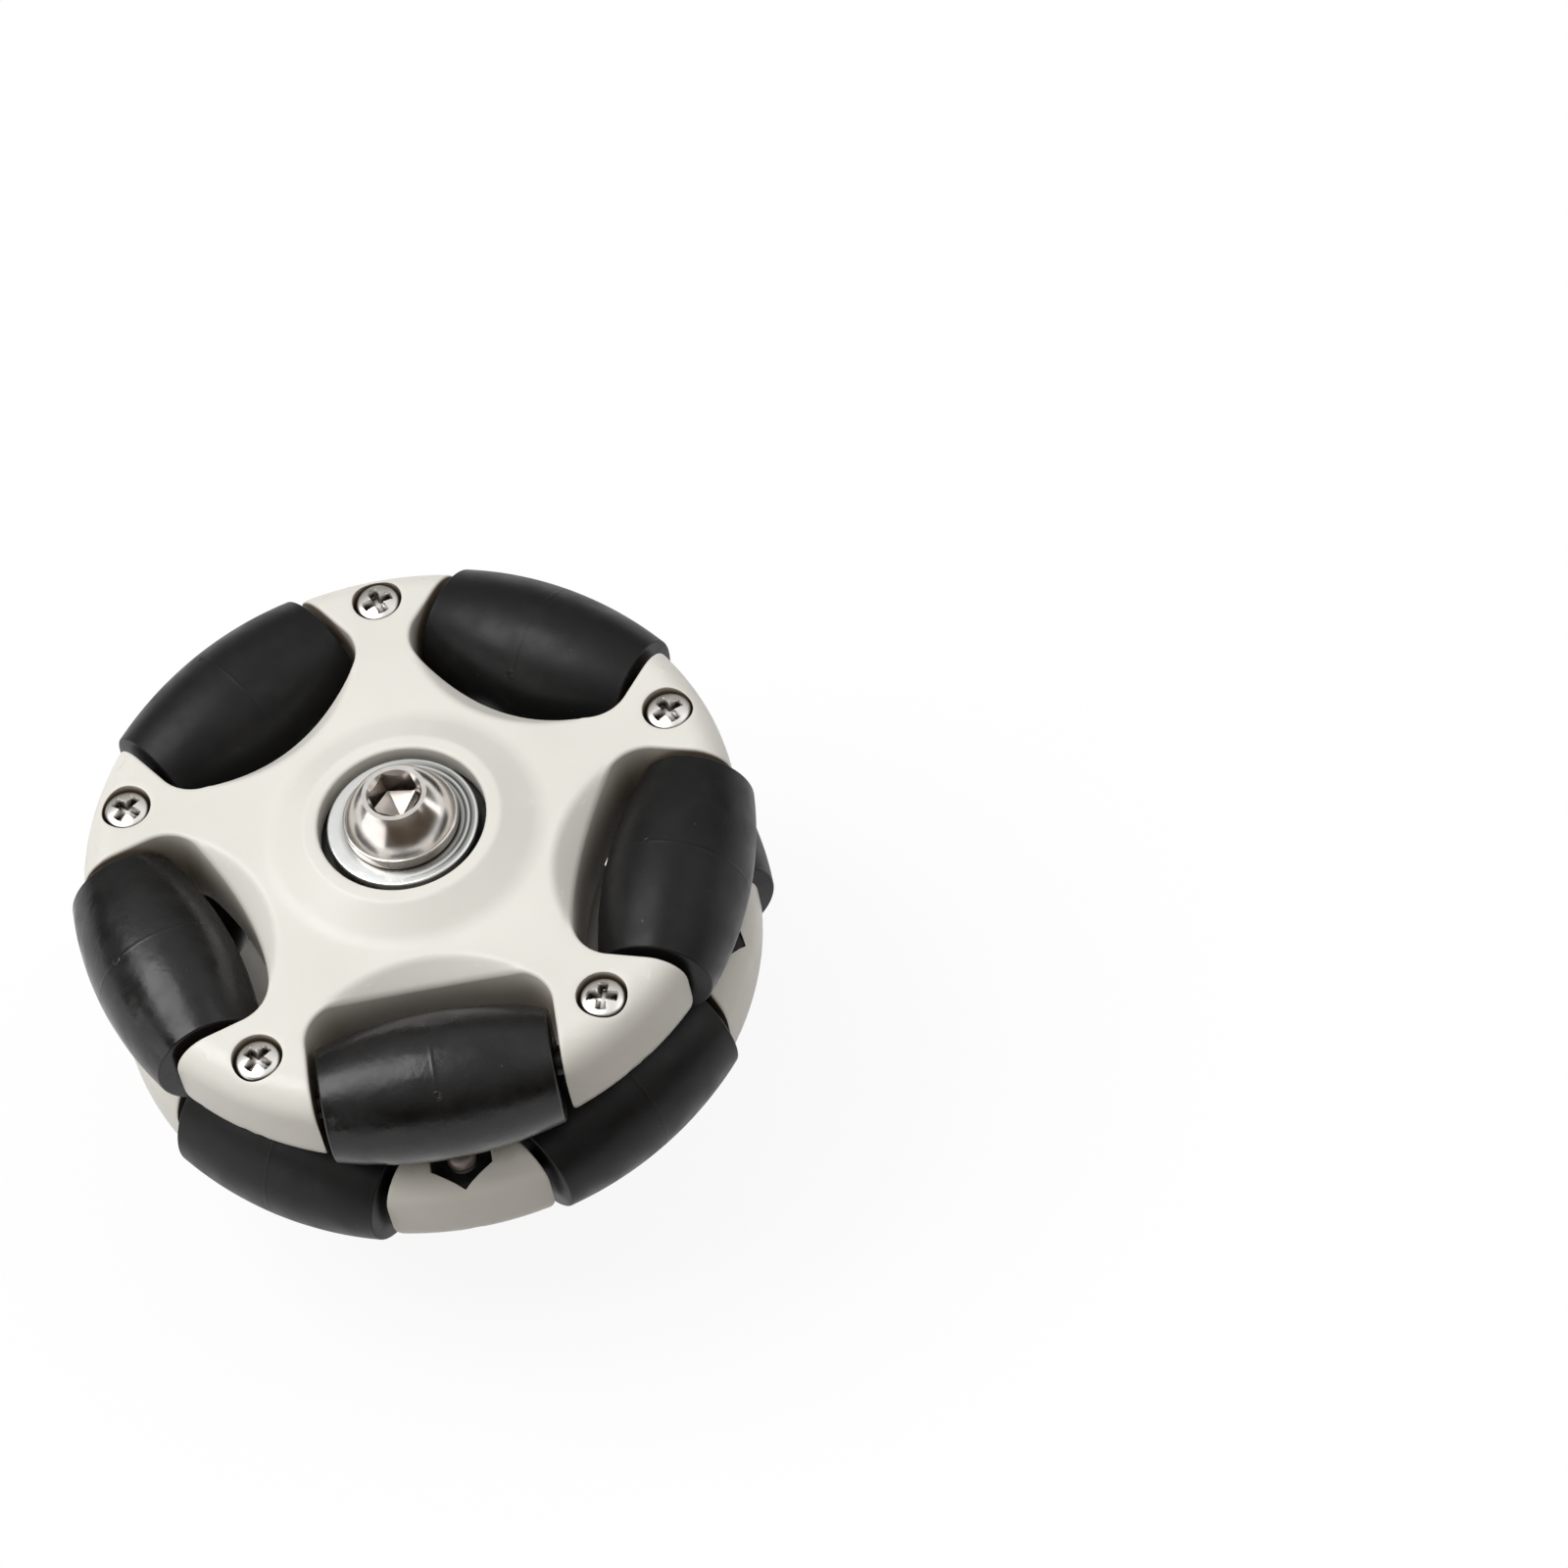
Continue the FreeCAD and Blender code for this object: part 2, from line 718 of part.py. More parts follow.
def bearing(row, middle, flipped):
    """A shielded ball bearing, as its separate pieces, with its first ball in line with a roller."""
    place(bearing_inner_ring(f"{row}_bearing_inner_ring"), middle, flipped)
    place(bearing_outer_ring(f"{row}_bearing_outer_ring"), middle, flipped)
    place(bearing_balls(f"{row}_bearing_balls"), middle, flipped, QUARTER_TURN)
    place(bearing_cage(f"{row}_bearing_cage"), middle, flipped, QUARTER_TURN)
    shield_place = s.bearing_width / 2 - s.shield_sunk - s.shield_thickness / 2
    for side, height in (("top", middle + shield_place), ("bottom", middle - shield_place)):
        place(bearing_shield(f"{row}_bearing_{side}_shield"), height)


def axle_bolt(label):
    """Button-head bolt, its origin under the head; its thread is drawn at the pitch radius inside the lock nut."""
    nut_start = -(s.washer_thickness + (s.row_offset + bearing_face) * 2)
    nut_end = nut_start - s.lock_nut_height
    end = -s.bolt_length
    points = [
        (ZERO, end),
        (s.bolt_radius - s.bolt_chamfer, end),
        (s.bolt_radius, end + s.bolt_chamfer),
        (s.bolt_radius, nut_end),
        (thread_radius, nut_end),
        (thread_radius, nut_start),
        (s.bolt_radius, nut_start),
        (s.bolt_radius, ZERO),
        (s.head_radius, ZERO),
        (s.head_radius, s.head_lip),
        (s.head_dome_radius, s.head_lip),
        (s.head_top_radius, s.head_height),
        (ZERO, s.head_height),
    ]
    body, _ = turned(label, "XZ_Plane", points, {10: s.head_dome_arc})
    sketch = new_sketch(body, "SocketOutline", "XY_Plane", s.head_height)
    hexagon(sketch, (ZERO, ZERO), s.socket_flats)
    extrude(body, "Pocket", "Socket", sketch, s.socket_depth)
    sketch = new_sketch(body, "ChamferOutline", "XZ_Plane")
    apex = s.head_height - s.socket_chamfer_radius
    outline(sketch, [(ZERO, apex), (s.socket_chamfer_radius, s.head_height), (ZERO, s.head_height)])
    turn(body, "Groove", "SocketChamfer", sketch)
    return body


def axle_washer(label):
    """Plain washer, its origin on its lower face."""
    bore = s.bolt_radius + s.washer_bore_fit
    points = [
        (bore, ZERO),
        (s.washer_radius, ZERO),
        (s.washer_radius, s.washer_thickness - s.washer_chamfer),
        (s.washer_radius - s.washer_chamfer, s.washer_thickness),
        (bore, s.washer_thickness),
    ]
    return turned(label, "XZ_Plane", points)[0]


def lock_nut(label):
    """Flanged hex nut with a crimped collar, its origin on the flange's seat."""
    lip_base = s.lock_nut_height - s.collar_lip
    lip_radius = collar_top - s.collar_flat
    points = [
        (thread_bore, ZERO),
        (s.flange_radius, ZERO),
        (s.flange_radius, s.flange_edge),
        (collar_radius, s.flange_rise),
        (collar_radius, s.lock_nut_height - s.collar_round),
        (collar_top, s.lock_nut_height),
        (lip_radius, s.lock_nut_height),
        (lip_radius, lip_base),
        (s.insert_radius, lip_base),
        (s.insert_radius, s.insert_seat),
        (thread_bore, s.insert_seat),
    ]
    body, _ = turned(label, "XZ_Plane", points, {4: s.collar_round})
    sketch = new_sketch(body, "HexOutline", "XY_Plane", s.flange_edge)
    hexagon(sketch, (ZERO, ZERO), s.lock_nut_flats)
    circle(sketch, (ZERO, ZERO), s.insert_radius)
    extrude(body, "Pad", "Hex", sketch, s.lock_nut_hex_top - s.flange_edge)
    sketch = new_sketch(body, "ChamferOutline", "XZ_Plane")
    flat = s.lock_nut_flats / 2
    outer = flat * 2 / math.sqrt(3)
    slope = s.lock_nut_hex_chamfer / (outer - flat)
    far = outer + CUT_MARGIN
    far_height = s.lock_nut_hex_top - slope * (far - flat)
    top = s.lock_nut_hex_top + CUT_MARGIN
    near_height = s.lock_nut_hex_top
    outline(sketch, [(flat, near_height), (far, far_height), (far, top), (flat, top)])
    turn(body, "Groove", "HexChamfer", sketch)
    return body


def lock_nut_insert(label):
    """The nylon ring that the nut's collar holds."""
    radius = s.insert_radius - s.insert_fit
    top = s.lock_nut_height - s.collar_lip - s.insert_fit
    points = [(thread_bore, s.insert_seat), (radius, s.insert_seat), (radius, top), (thread_bore, top)]
    return turned(label, "XZ_Plane", points)[0]


def build_row(row, middle, flipped):
    """One row: two half shells, five rollers on pins, and the screws and nuts that close the shells."""
    place(outer_shell(f"{row}_outer_shell"), middle, flipped)
    place(inner_shell(f"{row}_inner_shell"), middle, flipped)
    place(shell_screws(f"{row}_shell_screws"), middle, flipped)
    place(shell_nuts(f"{row}_shell_nuts"), middle, flipped)
    for index in range(ROLLERS_PER_ROW):
        spin = index * FULL_TURN / ROLLERS_PER_ROW
        place(roller(f"{row}_roller_{index + 1}"), middle, flipped, spin, roller_circle)
        place(roller_pin(f"{row}_roller_pin_{index + 1}"), middle, flipped, spin, roller_circle)


def build_axle():
    """The bolt and what it clamps: washer, spacer, lock nut and the nut's insert."""
    washer_seat = front_row + bearing_face
    place(axle_washer("axle_washer"), washer_seat)
    place(axle_bolt("axle_bolt"), washer_seat + s.washer_thickness, spin=BOLT_TURN)
    spacer_bore = s.bolt_radius + s.spacer_bore_fit
    spacer_half = s.row_offset - bearing_back
    place(tube("bearing_spacer", spacer_bore, s.spacer_radius, spacer_half)[0], wheel_middle)
    place(lock_nut("lock_nut"), s.lock_nut_height, flipped=True)
    place(lock_nut_insert("lock_nut_insert"), s.lock_nut_height, flipped=True)


def check(bodies):
    """Stops if a feature failed, a cut removed nothing, or a piece is not a sound solid."""
    for item in doc.Objects:
        if "Invalid" in item.State or "Error" in item.State:
            raise RuntimeError(f"{item.Label} failed: {item.State}")
        if item.TypeId in ("PartDesign::Pocket", "PartDesign::Groove"):
            if item.Shape.Volume >= item.BaseFeature.Shape.Volume:
                raise RuntimeError(f"{item.getParentGeoFeatureGroup().Label}: {item.Label} cuts nothing")
    for body in bodies:
        if body.Shape.isNull() or not body.Shape.isValid():
            raise RuntimeError(f"{body.Label} has no valid shape")


build_row("front", front_row, flipped=False)
build_row("rear", rear_row, flipped=True)
bearing("front", front_row + s.bearing_shift, flipped=False)
bearing("rear", rear_row - s.bearing_shift, flipped=True)
build_axle()
doc.recompute()

bodies = [item for item in doc.Objects if item.TypeId == "PartDesign::Body"]
check(bodies)
os.makedirs("parts", exist_ok=True)
for body in bodies:
    body.Shape.exportStep(f"parts/{body.Label}.step")
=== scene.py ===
import json
import math
import random

import bmesh
import bpy
from mathutils import Matrix, Vector
from mathutils.geometry import delaunay_2d_cdt

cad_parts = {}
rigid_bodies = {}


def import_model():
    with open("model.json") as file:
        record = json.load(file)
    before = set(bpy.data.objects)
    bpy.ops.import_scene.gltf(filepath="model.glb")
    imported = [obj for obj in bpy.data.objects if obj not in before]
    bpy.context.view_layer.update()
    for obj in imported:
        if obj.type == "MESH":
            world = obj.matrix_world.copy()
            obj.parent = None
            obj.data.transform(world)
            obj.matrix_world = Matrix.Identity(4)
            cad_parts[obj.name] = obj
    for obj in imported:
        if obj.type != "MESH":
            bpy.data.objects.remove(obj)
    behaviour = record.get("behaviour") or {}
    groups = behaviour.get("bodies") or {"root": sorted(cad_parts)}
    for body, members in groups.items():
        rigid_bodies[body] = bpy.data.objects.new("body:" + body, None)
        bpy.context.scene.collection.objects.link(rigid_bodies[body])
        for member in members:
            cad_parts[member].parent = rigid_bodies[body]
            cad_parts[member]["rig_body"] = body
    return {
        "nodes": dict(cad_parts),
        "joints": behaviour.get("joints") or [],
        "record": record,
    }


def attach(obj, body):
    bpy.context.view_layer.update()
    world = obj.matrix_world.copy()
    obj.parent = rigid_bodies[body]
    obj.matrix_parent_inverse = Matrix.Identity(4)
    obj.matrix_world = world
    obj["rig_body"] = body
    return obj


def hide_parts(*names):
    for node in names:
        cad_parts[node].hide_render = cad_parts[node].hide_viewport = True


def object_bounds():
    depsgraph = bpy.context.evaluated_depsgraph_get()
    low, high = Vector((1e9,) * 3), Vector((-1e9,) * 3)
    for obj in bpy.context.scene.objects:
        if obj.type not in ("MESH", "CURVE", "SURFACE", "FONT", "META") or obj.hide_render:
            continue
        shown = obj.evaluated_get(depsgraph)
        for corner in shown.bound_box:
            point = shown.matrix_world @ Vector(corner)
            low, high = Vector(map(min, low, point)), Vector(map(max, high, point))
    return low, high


# Double-row roller wheel for a folding bike, seen from the bolt-head side on white.
# Sizes of the wheel are written in millimetres and turned into metres with MM.
MM = 0.001

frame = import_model()
nodes = frame["nodes"]
joints = {joint["child"]: joint for joint in frame["joints"]}
slots = {part["node"]: part["material_slot"] for part in frame["record"]["subparts"]}
cad_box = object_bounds()

ROWS = ("front", "rear")
ROW_MIDDLE = {"front": 25.5, "rear": 13.3}
WHEEL_MIDDLE = (ROW_MIDDLE["front"] + ROW_MIDDLE["rear"]) / 2
ROLLERS_PER_ROW = 5
FULL_TURN = 2 * math.pi
SECTOR = FULL_TURN / ROLLERS_PER_ROW


# Materials

WHITE = (1, 1, 1)
SHELL_DARK = (0.76, 0.745, 0.69)
SHELL_LIGHT = (0.80, 0.785, 0.73)
# Brown painted shade of the shell plastic, where surfaces close in.
SHELL_PAINTED_SHADE = (0.30, 0.235, 0.17)
# Share of the painted shade kept near the bore, rising to all of it between the two distances below from the
# axle, in millimetres.
BORE_SHADE_SHARE = 0.25
BORE_SHADE_START = 9
BORE_SHADE_END = 12
RUBBER_BLACK = (0.0045, 0.0045, 0.005)
RUBBER_SCUFF = (0.009, 0.0088, 0.0085)
DUST = (0.09, 0.088, 0.085)
# Painted shade of plated steel in its hollows and where parts meet.
STEEL_PAINTED_SHADE = (0.07, 0.055, 0.045)
# Painted shade of the bolt's hex socket and of the foot of its head.
SOCKET_PAINTED_SHADE = (0.2, 0.16, 0.13)
SCREW_DULL = (0.50, 0.45, 0.42)
SCREW_BRIGHT = (0.92, 0.90, 0.87)
SCREW_DULL_END = 5.0
SCREW_BRIGHT_START = 5.5
WASHER_ZINC = (0.86, 0.87, 0.85)
# Nearly black colour of the painted dark reflection in the washer's turned marks, which fades in along +X
# between the two X limits below, in millimetres.
WASHER_STREAK_PAINTED_REFLECTION = (0.09, 0.09, 0.08)
PAINTED_REFLECTION_START = -1.5
PAINTED_REFLECTION_FULL = 4.5
NYLON_DARK = (0.03, 0.16, 0.42)
NYLON_LIGHT = (0.05, 0.22, 0.52)
HOLLOW_SAMPLES = 8


class Shader:
    """A principled material and short ways to add nodes to it."""

    def __init__(self, name, metallic=0.0):
        self.material = bpy.data.materials.new(name)
        self.material.use_nodes = True
        self.tree = self.material.node_tree
        self.surface = self.tree.nodes["Principled BSDF"]
        self.surface.inputs["Metallic"].default_value = metallic
        self.place = self.add("ShaderNodeTexCoord").outputs["Object"]

    def add(self, kind, **settings):
        """A new node with its settings."""
        node = self.tree.nodes.new(kind)
        for name, value in settings.items():
            setattr(node, name, value)
        return node

    def link(self, source, target):
        """Joins a node's output to an input."""
        self.tree.links.new(source, target)

    def feed(self, name, source):
        """Joins a node's output to an input of the surface."""
        self.link(source, self.surface.inputs[name])

    def noise(self, size_mm, detail=3.0):
        """Noise whose features are about size_mm across."""
        node = self.add("ShaderNodeTexNoise")
        node.inputs["Scale"].default_value = 1 / (size_mm * MM)
        node.inputs["Detail"].default_value = detail
        self.link(self.place, node.inputs["Vector"])
        return node.outputs["Fac"]

    def spread(self, source, low=0, high=1, start=0.3, end=0.7):
        """Maps the part of a pattern from start to end to the range from low to high."""
        node = self.add("ShaderNodeMapRange")
        for name, value in (("From Min", start), ("From Max", end), ("To Min", low), ("To Max", high)):
            node.inputs[name].default_value = value
        self.link(source, node.inputs["Value"])
        return node.outputs["Result"]

    def colours(self, source, first, second):
        """Blends two colours, each three numbers or a node's output, by a 0 to 1 pattern."""
        node = self.add("ShaderNodeMix", data_type="RGBA")
        self.link(source, node.inputs["Factor"])
        for name, colour in (("A", first), ("B", second)):
            if isinstance(colour, tuple):
                node.inputs[name].default_value = (*colour, 1)
            else:
                self.link(colour, node.inputs[name])
        return node.outputs["Result"]

    def paint_shade_in_hollows(self, colour, reach_mm, deepest, closed=0.25, free=0.9, share=None):
        """Paints shade into a colour: tints it by the deepest shade where surfaces close in around a place.
        """
        near = self.add("ShaderNodeAmbientOcclusion", samples=HOLLOW_SAMPLES)
        near.inputs["Distance"].default_value = reach_mm * MM
        shade = self.colours(self.spread(near.outputs["AO"], start=closed, end=free), deepest, WHITE)
        node = self.add("ShaderNodeMix", data_type="RGBA", blend_type="MULTIPLY")
        node.inputs["Factor"].default_value = 1
        if share:
            self.link(share, node.inputs["Factor"])
        self.link(colour, node.inputs["A"])
        self.link(shade, node.inputs["B"])
        return node.outputs["Result"]

    def axis(self, name):
        """One coordinate of a place, in metres."""
        node = self.add("ShaderNodeSeparateXYZ")
        self.link(self.place, node.inputs[0])
        return node.outputs[name]

    def work_out(self, operation, first, second):
        """The result of an operation on two values, of which the second may be a plain number."""
        node = self.add("ShaderNodeMath", operation=operation)
        self.link(first, node.inputs[0])
        if isinstance(second, float):
            node.inputs[1].default_value = second
        else:
            self.link(second, node.inputs[1])
        return node.outputs[0]

    def from_axle(self):
        """Distance of a place from the axle, in metres."""
        squares = [self.work_out("MULTIPLY", self.axis(name), self.axis(name)) for name in "XY"]
        return self.work_out("POWER", self.work_out("ADD", *squares), 0.5)

    def turned(self, size_mm):
        """Rings about the axle, about size_mm apart."""
        node = self.add("ShaderNodeTexNoise", noise_dimensions="1D")
        node.inputs["Scale"].default_value = 1 / (size_mm * MM)
        self.link(self.from_axle(), node.inputs["W"])
        return node.outputs["Fac"]

    def bump(self, source, depth_mm, strength):
        """Makes the surface look raised where a pattern is high."""
        node = self.add("ShaderNodeBump")
        node.inputs["Distance"].default_value = depth_mm * MM
        node.inputs["Strength"].default_value = strength
        self.link(source, node.inputs["Height"])
        self.feed("Normal", node.outputs["Normal"])


def shell_plastic():
    """Warm off-white moulded plastic with a fine grain and a faint unevenness of tone, and painted shade
    where surfaces close in, weaker near the bore.
    """
    shader = Shader("shell_plastic")
    tone = shader.colours(shader.spread(shader.noise(size_mm=9)), SHELL_DARK, SHELL_LIGHT)
    off_bore = shader.spread(shader.from_axle(), low=BORE_SHADE_SHARE,
                             start=BORE_SHADE_START * MM, end=BORE_SHADE_END * MM)
    # Painted shade where surfaces close in, weaker near the bore.
    shaded = shader.paint_shade_in_hollows(tone, reach_mm=2.6, deepest=SHELL_PAINTED_SHADE, free=0.84, share=off_bore)
    shader.feed("Base Color", shaded)
    shader.feed("Roughness", shader.spread(shader.noise(size_mm=1.5), low=0.33, high=0.42))
    shader.bump(shader.noise(size_mm=0.25, detail=2), depth_mm=0.02, strength=0.10)
    return shader.material


def roller_rubber(name, shine, smooth, rough, unevenness):
    """Black rubber with an uneven moulded skin and a few pale specks of dust."""
    shader = Shader(name)
    shader.surface.inputs["Specular IOR Level"].default_value = shine
    scuff = shader.spread(shader.noise(size_mm=2.2, detail=6), start=0.5, end=0.75)
    dust = shader.spread(shader.noise(size_mm=0.45, detail=1), start=0.79, end=0.85)
    skin_tone = shader.colours(scuff, RUBBER_BLACK, RUBBER_SCUFF)
    shader.feed("Base Color", shader.colours(dust, skin_tone, DUST))
    shader.feed("Roughness", shader.spread(shader.noise(size_mm=2.6, detail=5), smooth, rough))
    shader.bump(shader.noise(size_mm=1.1, detail=5), depth_mm=0.06, strength=unevenness)
    return shader.material


def plated(name, dark, light, smooth, rough, reach_mm=1.2, hollow_shade_colour=STEEL_PAINTED_SHADE):
    """Plated steel: a metal with faint cloudy tone, a varying polish and painted shade in its hollows."""
    shader = Shader(name, metallic=1.0)
    tone = shader.colours(shader.spread(shader.noise(size_mm=1.2)), dark, light)
    shader.feed("Base Color", shader.paint_shade_in_hollows(tone, reach_mm, hollow_shade_colour))
    shader.feed("Roughness", shader.spread(shader.noise(size_mm=1.4), smooth, rough))
    shader.bump(shader.noise(size_mm=0.6, detail=2), depth_mm=0.01, strength=0.03)
    return shader.material


def screw_steel():
    """Bright plated screws whose ends, near the middle of the wheel, are dull and brown, with painted shade
    in their cross recesses and at the rims of their heads.
    """
    shader = Shader("screw_steel", metallic=1.0)
    from_middle = shader.work_out("SUBTRACT", shader.axis("Z"), WHEEL_MIDDLE * MM)
    squared = shader.work_out("POWER", from_middle, 2.0)
    bright = shader.spread(squared, start=(SCREW_DULL_END * MM) ** 2, end=(SCREW_BRIGHT_START * MM) ** 2)
    tone = shader.colours(bright, SCREW_DULL, SCREW_BRIGHT)
    # Painted shade in the cross recesses and at the rims of the heads.
    shader.feed("Base Color", shader.paint_shade_in_hollows(tone, reach_mm=0.6, deepest=STEEL_PAINTED_SHADE, closed=0.5))
    shader.feed("Roughness", shader.spread(bright, low=0.55, high=0.3, start=0, end=1))
    shader.bump(shader.noise(size_mm=0.6, detail=2), depth_mm=0.01, strength=0.03)
    return shader.material


def washer_steel():
    """A zinc washer with turned marks in its colour and bump; toward +X the marks are painted nearly black as
    a painted dark reflection, and painted shade darkens it where surfaces close in.
    """
    shader = Shader("washer_steel", metallic=1.0)
    turned = shader.turned(size_mm=0.5)
    # Painted dark reflection: the turned marks darken from nothing to full along +X.
    painted_reflection_side = shader.spread(shader.axis("X"), start=PAINTED_REFLECTION_START * MM, end=PAINTED_REFLECTION_FULL * MM)
    turned_streaks_and_painted_reflection = shader.work_out("MULTIPLY", shader.spread(turned, start=0.36, end=0.56), painted_reflection_side)
    tone = shader.colours(turned_streaks_and_painted_reflection, WASHER_ZINC, WASHER_STREAK_PAINTED_REFLECTION)
    # Painted shade where surfaces close in.
    shader.feed("Base Color", shader.paint_shade_in_hollows(tone, reach_mm=0.9, deepest=STEEL_PAINTED_SHADE))
    shader.feed("Roughness", shader.spread(shader.noise(size_mm=1.4), low=0.18, high=0.30))
    shader.bump(turned, depth_mm=0.05, strength=0.25)
    return shader.material


def nylon():
    """Blue nylon of the lock nut's insert."""
    shader = Shader("nylon_insert")
    cloud = shader.spread(shader.noise(size_mm=0.8))
    shader.feed("Base Color", shader.colours(cloud, NYLON_DARK, NYLON_LIGHT))
    shader.feed("Roughness", shader.spread(shader.noise(size_mm=0.5), low=0.35, high=0.5))
    shader.bump(shader.noise(size_mm=0.3), depth_mm=0.02, strength=0.1)
    return shader.material


MATERIALS = {
    "shell_plastic": shell_plastic(),
    "roller_rubber": roller_rubber("roller_rubber", shine=0.29, smooth=0.34, rough=0.50, unevenness=0.25),
    # The bolt's painted shade reaches 3.2 mm, to fill its socket and the foot of its head.
    "bolt_steel": plated("bolt_steel", dark=(0.70, 0.66, 0.62), light=(0.80, 0.77, 0.74),
                         smooth=0.15, rough=0.22, reach_mm=3.2, hollow_shade_colour=SOCKET_PAINTED_SHADE),
    "zinc_steel": plated("zinc_steel", dark=(0.70, 0.71, 0.71), light=(0.80, 0.81, 0.81),
                         smooth=0.16, rough=0.26),
    "bearing_steel": plated("bearing_steel", dark=(0.12, 0.12, 0.12), light=(0.18, 0.18, 0.18),
                            smooth=0.28, rough=0.40),
    "nylon_insert": nylon(),
}
WORN_RUBBER = roller_rubber("roller_rubber_worn", shine=0.46, smooth=0.17, rough=0.40, unevenness=0.6)
WORN_ROLLERS = ("front_roller_1", "front_roller_5")
SCREW_STEEL = screw_steel()
WASHER_STEEL = washer_steel()


# Mesh helpers

def ring(radius, height, steps):
    """A circle of points about Z, in millimetres; radius and height may be functions of the angle."""
    points = []
    for step in range(steps):
        angle = FULL_TURN * step / steps
        reach = radius(angle) if callable(radius) else radius
        level = height(angle) if callable(height) else height
        points.append(Vector((reach * math.cos(angle), reach * math.sin(angle), level)))
    return points


def skin(mesh, rings, closed=False, turn=Matrix.Identity(4)):
    """Faces over rings of equal length; closed joins the last to the first, or else both ends get caps."""
    rows = [[mesh.verts.new(turn @ (point * MM)) for point in points] for points in rings]
    pairs = list(zip(rows, rows[1:]))
    if closed:
        pairs.append((rows[-1], rows[0]))
    for low, high in pairs:
        for index in range(len(low)):
            after = (index + 1) % len(low)
            mesh.faces.new((low[index], low[after], high[after], high[index]))
    if not closed:
        mesh.faces.new(list(reversed(rows[0])))
        mesh.faces.new(rows[-1])


def lathe(mesh, profile, steps, turn=Matrix.Identity(4)):
    """Turns a closed profile of radius and height pairs about Z."""
    skin(mesh, [ring(radius, height, steps) for radius, height in profile], closed=True, turn=turn)


def finished(name, mesh, sharp_degrees=35):
    """Turns a bmesh into an object with smooth faces and sharp edges where they turn steeply."""
    bmesh.ops.recalc_face_normals(mesh, faces=mesh.faces)
    data = bpy.data.meshes.new(name)
    mesh.to_mesh(data)
    mesh.free()
    data.shade_smooth()
    data.set_sharp_from_angle(angle=math.radians(sharp_degrees))
    piece = bpy.data.objects.new(name, data)
    bpy.context.scene.collection.objects.link(piece)
    return piece


def stand_for(piece, node, finish=None):
    """Makes a piece take a CAD node's place, body and finish, or a finish of its own."""
    piece.data.materials.clear()
    piece.data.materials.append(finish or MATERIALS[slots[node]])
    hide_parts(node)
    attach(piece, nodes[node]["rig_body"])


def bulge(start, end, radius, steps):
    """Points of the arc from start to end that bulges to the right of its run."""
    across, up = end[0] - start[0], end[1] - start[1]
    chord = math.hypot(across, up)
    rise = math.sqrt(radius ** 2 - (chord / 2) ** 2)
    centre = Vector(((start[0] + end[0]) / 2 - up / chord * rise,
                     (start[1] + end[1]) / 2 + across / chord * rise))
    first = math.atan2(start[1] - centre.y, start[0] - centre.x)
    sweep = 2 * math.asin(chord / 2 / radius)
    points = []
    for step in range(steps + 1):
        angle = first + sweep * step / steps
        points.append((centre.x + radius * math.cos(angle), centre.y + radius * math.sin(angle)))
    return points


def quarter_turn(gap_degrees):
    """Angles from zero to a quarter turn, in radians."""
    return [math.radians(angle) for angle in range(0, 91, gap_degrees)]


# Rollers

ROLLER_LENGTH = 19.294
ROLLER_RADIUS = 6.15
ROLLER_END_RADIUS = 4.75
ROLLER_ROUND = 0.2
ROLLER_ROUND_ARC = ROLLER_ROUND * 1.05
ROLLER_BORE = 1.03
ROLLER_STEPS = 144
CROWN_STEPS = 40
ROUND_STEPS = 6
MOULD_LINE_HALF = 0.07
MOULD_LINE_RISE = 0.008
GATE_LEAN = {"front_roller_1": 49, "front_roller_2": 107, "front_roller_5": 54}
GATE_SEED = 4
GATE_STEPS = 24
GATE_PROFILE = [(0.44, -0.08), (0.40, 0.0), (0.30, 0.06), (0.20, 0.03), (0.12, -0.04), (0.04, -0.05)]


def crown_radius(along):
    """Radius of the barrel at a distance along the axis from its middle."""
    half = ROLLER_LENGTH / 2
    drop = ROLLER_RADIUS - ROLLER_END_RADIUS
    crown = (half ** 2 + drop ** 2) / (2 * drop)
    return ROLLER_RADIUS - crown + math.sqrt(crown ** 2 - along ** 2)


def roller_profile():
    """Half the outline from the mould line to the end face, mirrored to the other end."""
    half = ROLLER_LENGTH / 2
    start = half - ROLLER_ROUND
    side = [(crown_radius(0) + MOULD_LINE_RISE, MOULD_LINE_HALF / 2), (crown_radius(0), MOULD_LINE_HALF)]
    for step in range(1, CROWN_STEPS + 1):
        along = MOULD_LINE_HALF + (start - MOULD_LINE_HALF) * step / CROWN_STEPS
        side.append((crown_radius(along), along))
    edge = crown_radius(start)
    side += bulge((edge, start), (edge - ROLLER_ROUND, half), ROLLER_ROUND_ARC, ROUND_STEPS)[1:]
    side.append((ROLLER_BORE, half))
    return [(radius, -along) for radius, along in reversed(side)] + side


def roller(node):
    """A barrel roller with its mould line and the torn mark of its gate, leaning from outward to upward."""
    place = Vector(joints[node]["pos_m"])
    outward = Vector((place.x, place.y, 0)).normalized()
    upward = Vector((0, 0, 1))
    axes = Matrix((outward, upward, outward.cross(upward))).transposed()
    turn = Matrix.Translation(place) @ axes.to_4x4()
    mesh = bmesh.new()
    lathe(mesh, roller_profile(), ROLLER_STEPS, turn)
    lean = math.radians(GATE_LEAN.get(node, random.uniform(0, 360)))
    gate = Matrix.Rotation(lean, 4, "Z") @ Matrix.Translation((ROLLER_RADIUS * MM, 0, 0))
    torn = []
    for radius, level in GATE_PROFILE:
        torn.append(ring(radius, lambda angle: level * (1 + math.cos(angle)) / 2, GATE_STEPS))
    skin(mesh, torn, turn=turn @ gate @ Matrix.Rotation(math.pi / 2, 4, "Y"))
    stand_for(finished(f"{node}_visual", mesh), node, WORN_RUBBER if node in WORN_ROLLERS else None)


# Axle bolt and washer

